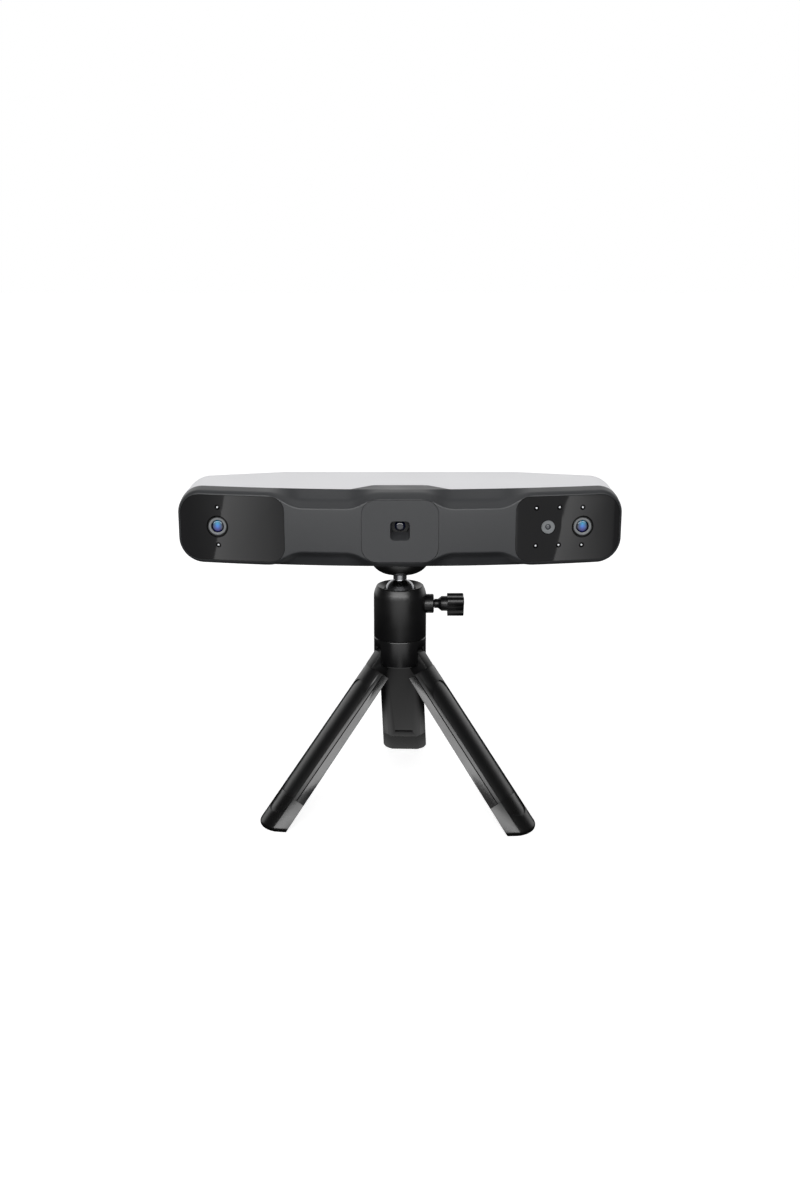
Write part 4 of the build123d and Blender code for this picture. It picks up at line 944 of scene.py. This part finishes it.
# %% [markdown]
# ## Floor, background and light
#
# The set is a product table. White paper covers it and rises into a white background. One wide soft
# light stands in front and lights everything, and a weak one hangs above. Black plastic shows
# little of that light: what the eye reads on it are mirror images of the set, in three kinds.
#
# - The paper and the background show in every shiny surface that leans back, as pale bands.
# - The room in front is dark, except for a wedge of paper, so upright walls stay deep and get one
#   narrow stripe of light down their middle.
# - Two glowing cards and a dark one stand where the flat windows mirror them. Their slanted edges
#   make the slanted glare on the windows. Nothing but a mirror image shows them.
#
# The paper gives light of its own to the eye and to mirrors only. It lights nothing, so the shadow
# under the object stays and its undersides stay dark. Distances in this cell are in metres.

# %% Floor and background


def ray_kinds(tree):
    """Three outputs that are 1 for one kind of ray each: from the eye or through glass,
    mirrored, and scattered."""
    path = add(tree, "ShaderNodeLightPath").outputs
    seen = arithmetic(tree, "MAXIMUM", path["Is Camera Ray"], path["Is Transmission Ray"])
    return seen, path["Is Glossy Ray"], path["Is Diffuse Ray"]


def mixed(tree, factor, first, second):
    """The first value at factor 0, the second at factor 1, and a blend between."""
    node = add(tree, "ShaderNodeMix", {"Factor": factor, "A": first, "B": second},
               data_type="FLOAT")
    return node.outputs["Result"]


WEDGE_CLEAR, WEDGE_END, BESIDE_WEDGE = 0.35, 0.85, 0.05
# In mirrors the paper near the object shows dark, except for a narrow strip right under it that
# glows.
UNDER_IN, UNDER_OUT, UNDER_GLOW = 0.012, 0.024, 0.35
MIRROR_NEAR, MIRROR_FAR = 0.13, 0.22
REAR_NEAR, REAR_FAR = 0.3, 0.6
EYE_NEAR, EYE_FAR, EYE_GLOW = 0.12, 0.5, 0.78
FLOOR_HALF = 4
floor_corners = [(FLOOR_HALF * x, FLOOR_HALF * y, 0)
                 for x, y in ((-1, -1), (1, -1), (1, 1), (-1, 1))]
floor_mesh = mesh_of("floor", floor_corners, [(0, 1, 2, 3)])
floor = bpy.data.objects.new("floor", floor_mesh)
bare_collection.objects.link(floor)
paper = bpy.data.materials.new("white_paper_floor")
paper.use_nodes = True
tree = paper.node_tree
tree.nodes.clear()
seen, mirrored, scattered = ray_kinds(tree)
place = add(tree, "ShaderNodeTexCoord").outputs["Object"]
away = add(tree, "ShaderNodeVectorMath", {0: place}, operation="LENGTH").outputs["Value"]
sides = add(tree, "ShaderNodeSeparateXYZ", {"Vector": place}).outputs
ahead = arithmetic(tree, "MAXIMUM", arithmetic(tree, "MULTIPLY", sides["Y"], -1.0), 0.001)
aside = arithmetic(tree, "DIVIDE", arithmetic(tree, "ABSOLUTE", sides["X"]), ahead)
wedge = ramped(tree, aside, WEDGE_CLEAR, WEDGE_END, 1.0, BESIDE_WEDGE)
behind = ramped(tree, sides["Y"], REAR_NEAR, REAR_FAR)
clear = ramped(tree, away, MIRROR_NEAR, MIRROR_FAR)
under = ramped(tree, arithmetic(tree, "ABSOLUTE", sides["X"]), UNDER_IN, UNDER_OUT,
               UNDER_GLOW, 0.0)
far_glow = arithmetic(tree, "MAXIMUM", wedge, behind)
reflected = arithmetic(tree, "MULTIPLY", mirrored, mixed(tree, clear, under, far_glow))
looked_at = arithmetic(tree, "MULTIPLY", seen,
                       ramped(tree, away, EYE_NEAR, EYE_FAR, EYE_GLOW, 1.0))
own_light = arithmetic(tree, "ADD", reflected, looked_at)
glow = add(tree, "ShaderNodeEmission", {"Strength": own_light})
tone = add(tree, "ShaderNodeMixRGB", {
    "Fac": arithmetic(tree, "MAXIMUM", mirrored, scattered),
    "Color1": colour("#e6e6e6"), "Color2": colour("#303030")})
matt = add(tree, "ShaderNodeBsdfDiffuse", {"Color": tone.outputs["Color"]})
both = add(tree, "ShaderNodeAddShader", {0: matt.outputs["BSDF"], 1: glow.outputs[0]})
add(tree, "ShaderNodeOutputMaterial", {"Surface": both.outputs["Shader"]})
floor_mesh.materials.append(paper)

# %% [markdown]
# The cards stand about 0.3 m in front. A card has one slanted edge that is sharp in the windows
# and one upright edge that lies past them. All are given in millimetres from the column.

# %% Cards and world
CARD_LOW, CARD_HIGH = 8, 62
LEFT_EDGE = ((-219.7, -260), (-200.2, -271.5))
RIGHT_EDGE = ((174.4, -285.5), (194.5, -274.5))


def card(name, sharp_low, sharp_high, soft, bright, faint):
    """A card that only mirrors show: bright along one edge and fading to the other."""
    mesh = bpy.data.meshes.new(name)
    corners = [at_column(*sharp_low, CARD_LOW), at_column(*soft, CARD_LOW),
               at_column(*soft, CARD_HIGH), at_column(*sharp_high, CARD_HIGH)]
    mesh.from_pydata(corners, [], [(0, 1, 2, 3)])
    level = mesh.attributes.new("glow", "FLOAT", "POINT")
    level.data.foreach_set("value", [bright, faint, faint, bright])
    piece = bpy.data.objects.new(name, mesh)
    bare_collection.objects.link(piece)
    material = bpy.data.materials.new(name + "_glow")
    material.use_nodes = True
    material.node_tree.nodes.clear()
    value = add(material.node_tree, "ShaderNodeAttribute", attribute_name="glow")
    light = add(material.node_tree, "ShaderNodeEmission", {"Strength": value.outputs["Fac"]})
    add(material.node_tree, "ShaderNodeOutputMaterial", {"Surface": light.outputs[0]})
    mesh.materials.append(material)
    piece.visible_camera = piece.visible_diffuse = False
    piece.visible_transmission = piece.visible_shadow = False


card("left_card", *LEFT_EDGE, (-136, -301), 1.75, 0.45)
card("right_card", *RIGHT_EDGE, (240, -246), 1.7, 0.3)
card("right_flag", *RIGHT_EDGE, (140, -305), 0.25, 0.25)

ROOM_LIGHT, ROOM_MIRRORED = 0.10, 0.05
BACK_NEAR, BACK_FAR = 0.3, 0.6
OVERHEAD_NEAR, OVERHEAD_FAR = 0.8, 0.97
world = bpy.data.worlds.new("studio")
bpy.context.scene.world = world
world.use_nodes = True
tree = world.node_tree
tree.nodes.clear()
seen, mirrored, scattered = ray_kinds(tree)
direction = add(tree, "ShaderNodeTexCoord").outputs["Generated"]
sides = add(tree, "ShaderNodeSeparateXYZ", {"Vector": direction}).outputs
backdrop = arithmetic(tree, "MULTIPLY", ramped(tree, sides["Y"], BACK_NEAR, BACK_FAR),
                      ramped(tree, sides["Z"], OVERHEAD_NEAR, OVERHEAD_FAR, 1.0, 0.0))
in_mirror = mixed(tree, backdrop, ROOM_MIRRORED, 1.0)
unseen = mixed(tree, mirrored, ROOM_LIGHT, in_mirror)
background = add(tree, "ShaderNodeBackground", {
    "Color": (1.0, 1.0, 1.0, 1.0), "Strength": mixed(tree, seen, unseen, 1.0)})
add(tree, "ShaderNodeOutputWorld", {"Surface": background.outputs["Background"]})
print("floor and background ready")

# %% Lights


def softbox(name, place, target, width, height, radiance):
    """A rectangular soft light. Sizes in mm, places in metres."""
    data = bpy.data.lights.new(name, "AREA")
    data.shape = "RECTANGLE"
    data.size, data.size_y = width * MM, height * MM
    data.energy = radiance * pi * data.size * data.size_y
    lamp = bpy.data.objects.new(name, data)
    lamp.location = place
    lamp.rotation_euler = (Vector(target) - Vector(place)).to_track_quat("-Z", "Y").to_euler()
    bare_collection.objects.link(lamp)
    return lamp


MIDDLE = at_column(0, 0, 85)
softbox("front_softbox", at_column(-50, -610, 325), MIDDLE, 1000, 300, 4.9)
softbox("overhead_softbox", at_column(0, 60, 650), MIDDLE, 600, 400, 0.7)
print("lights ready")
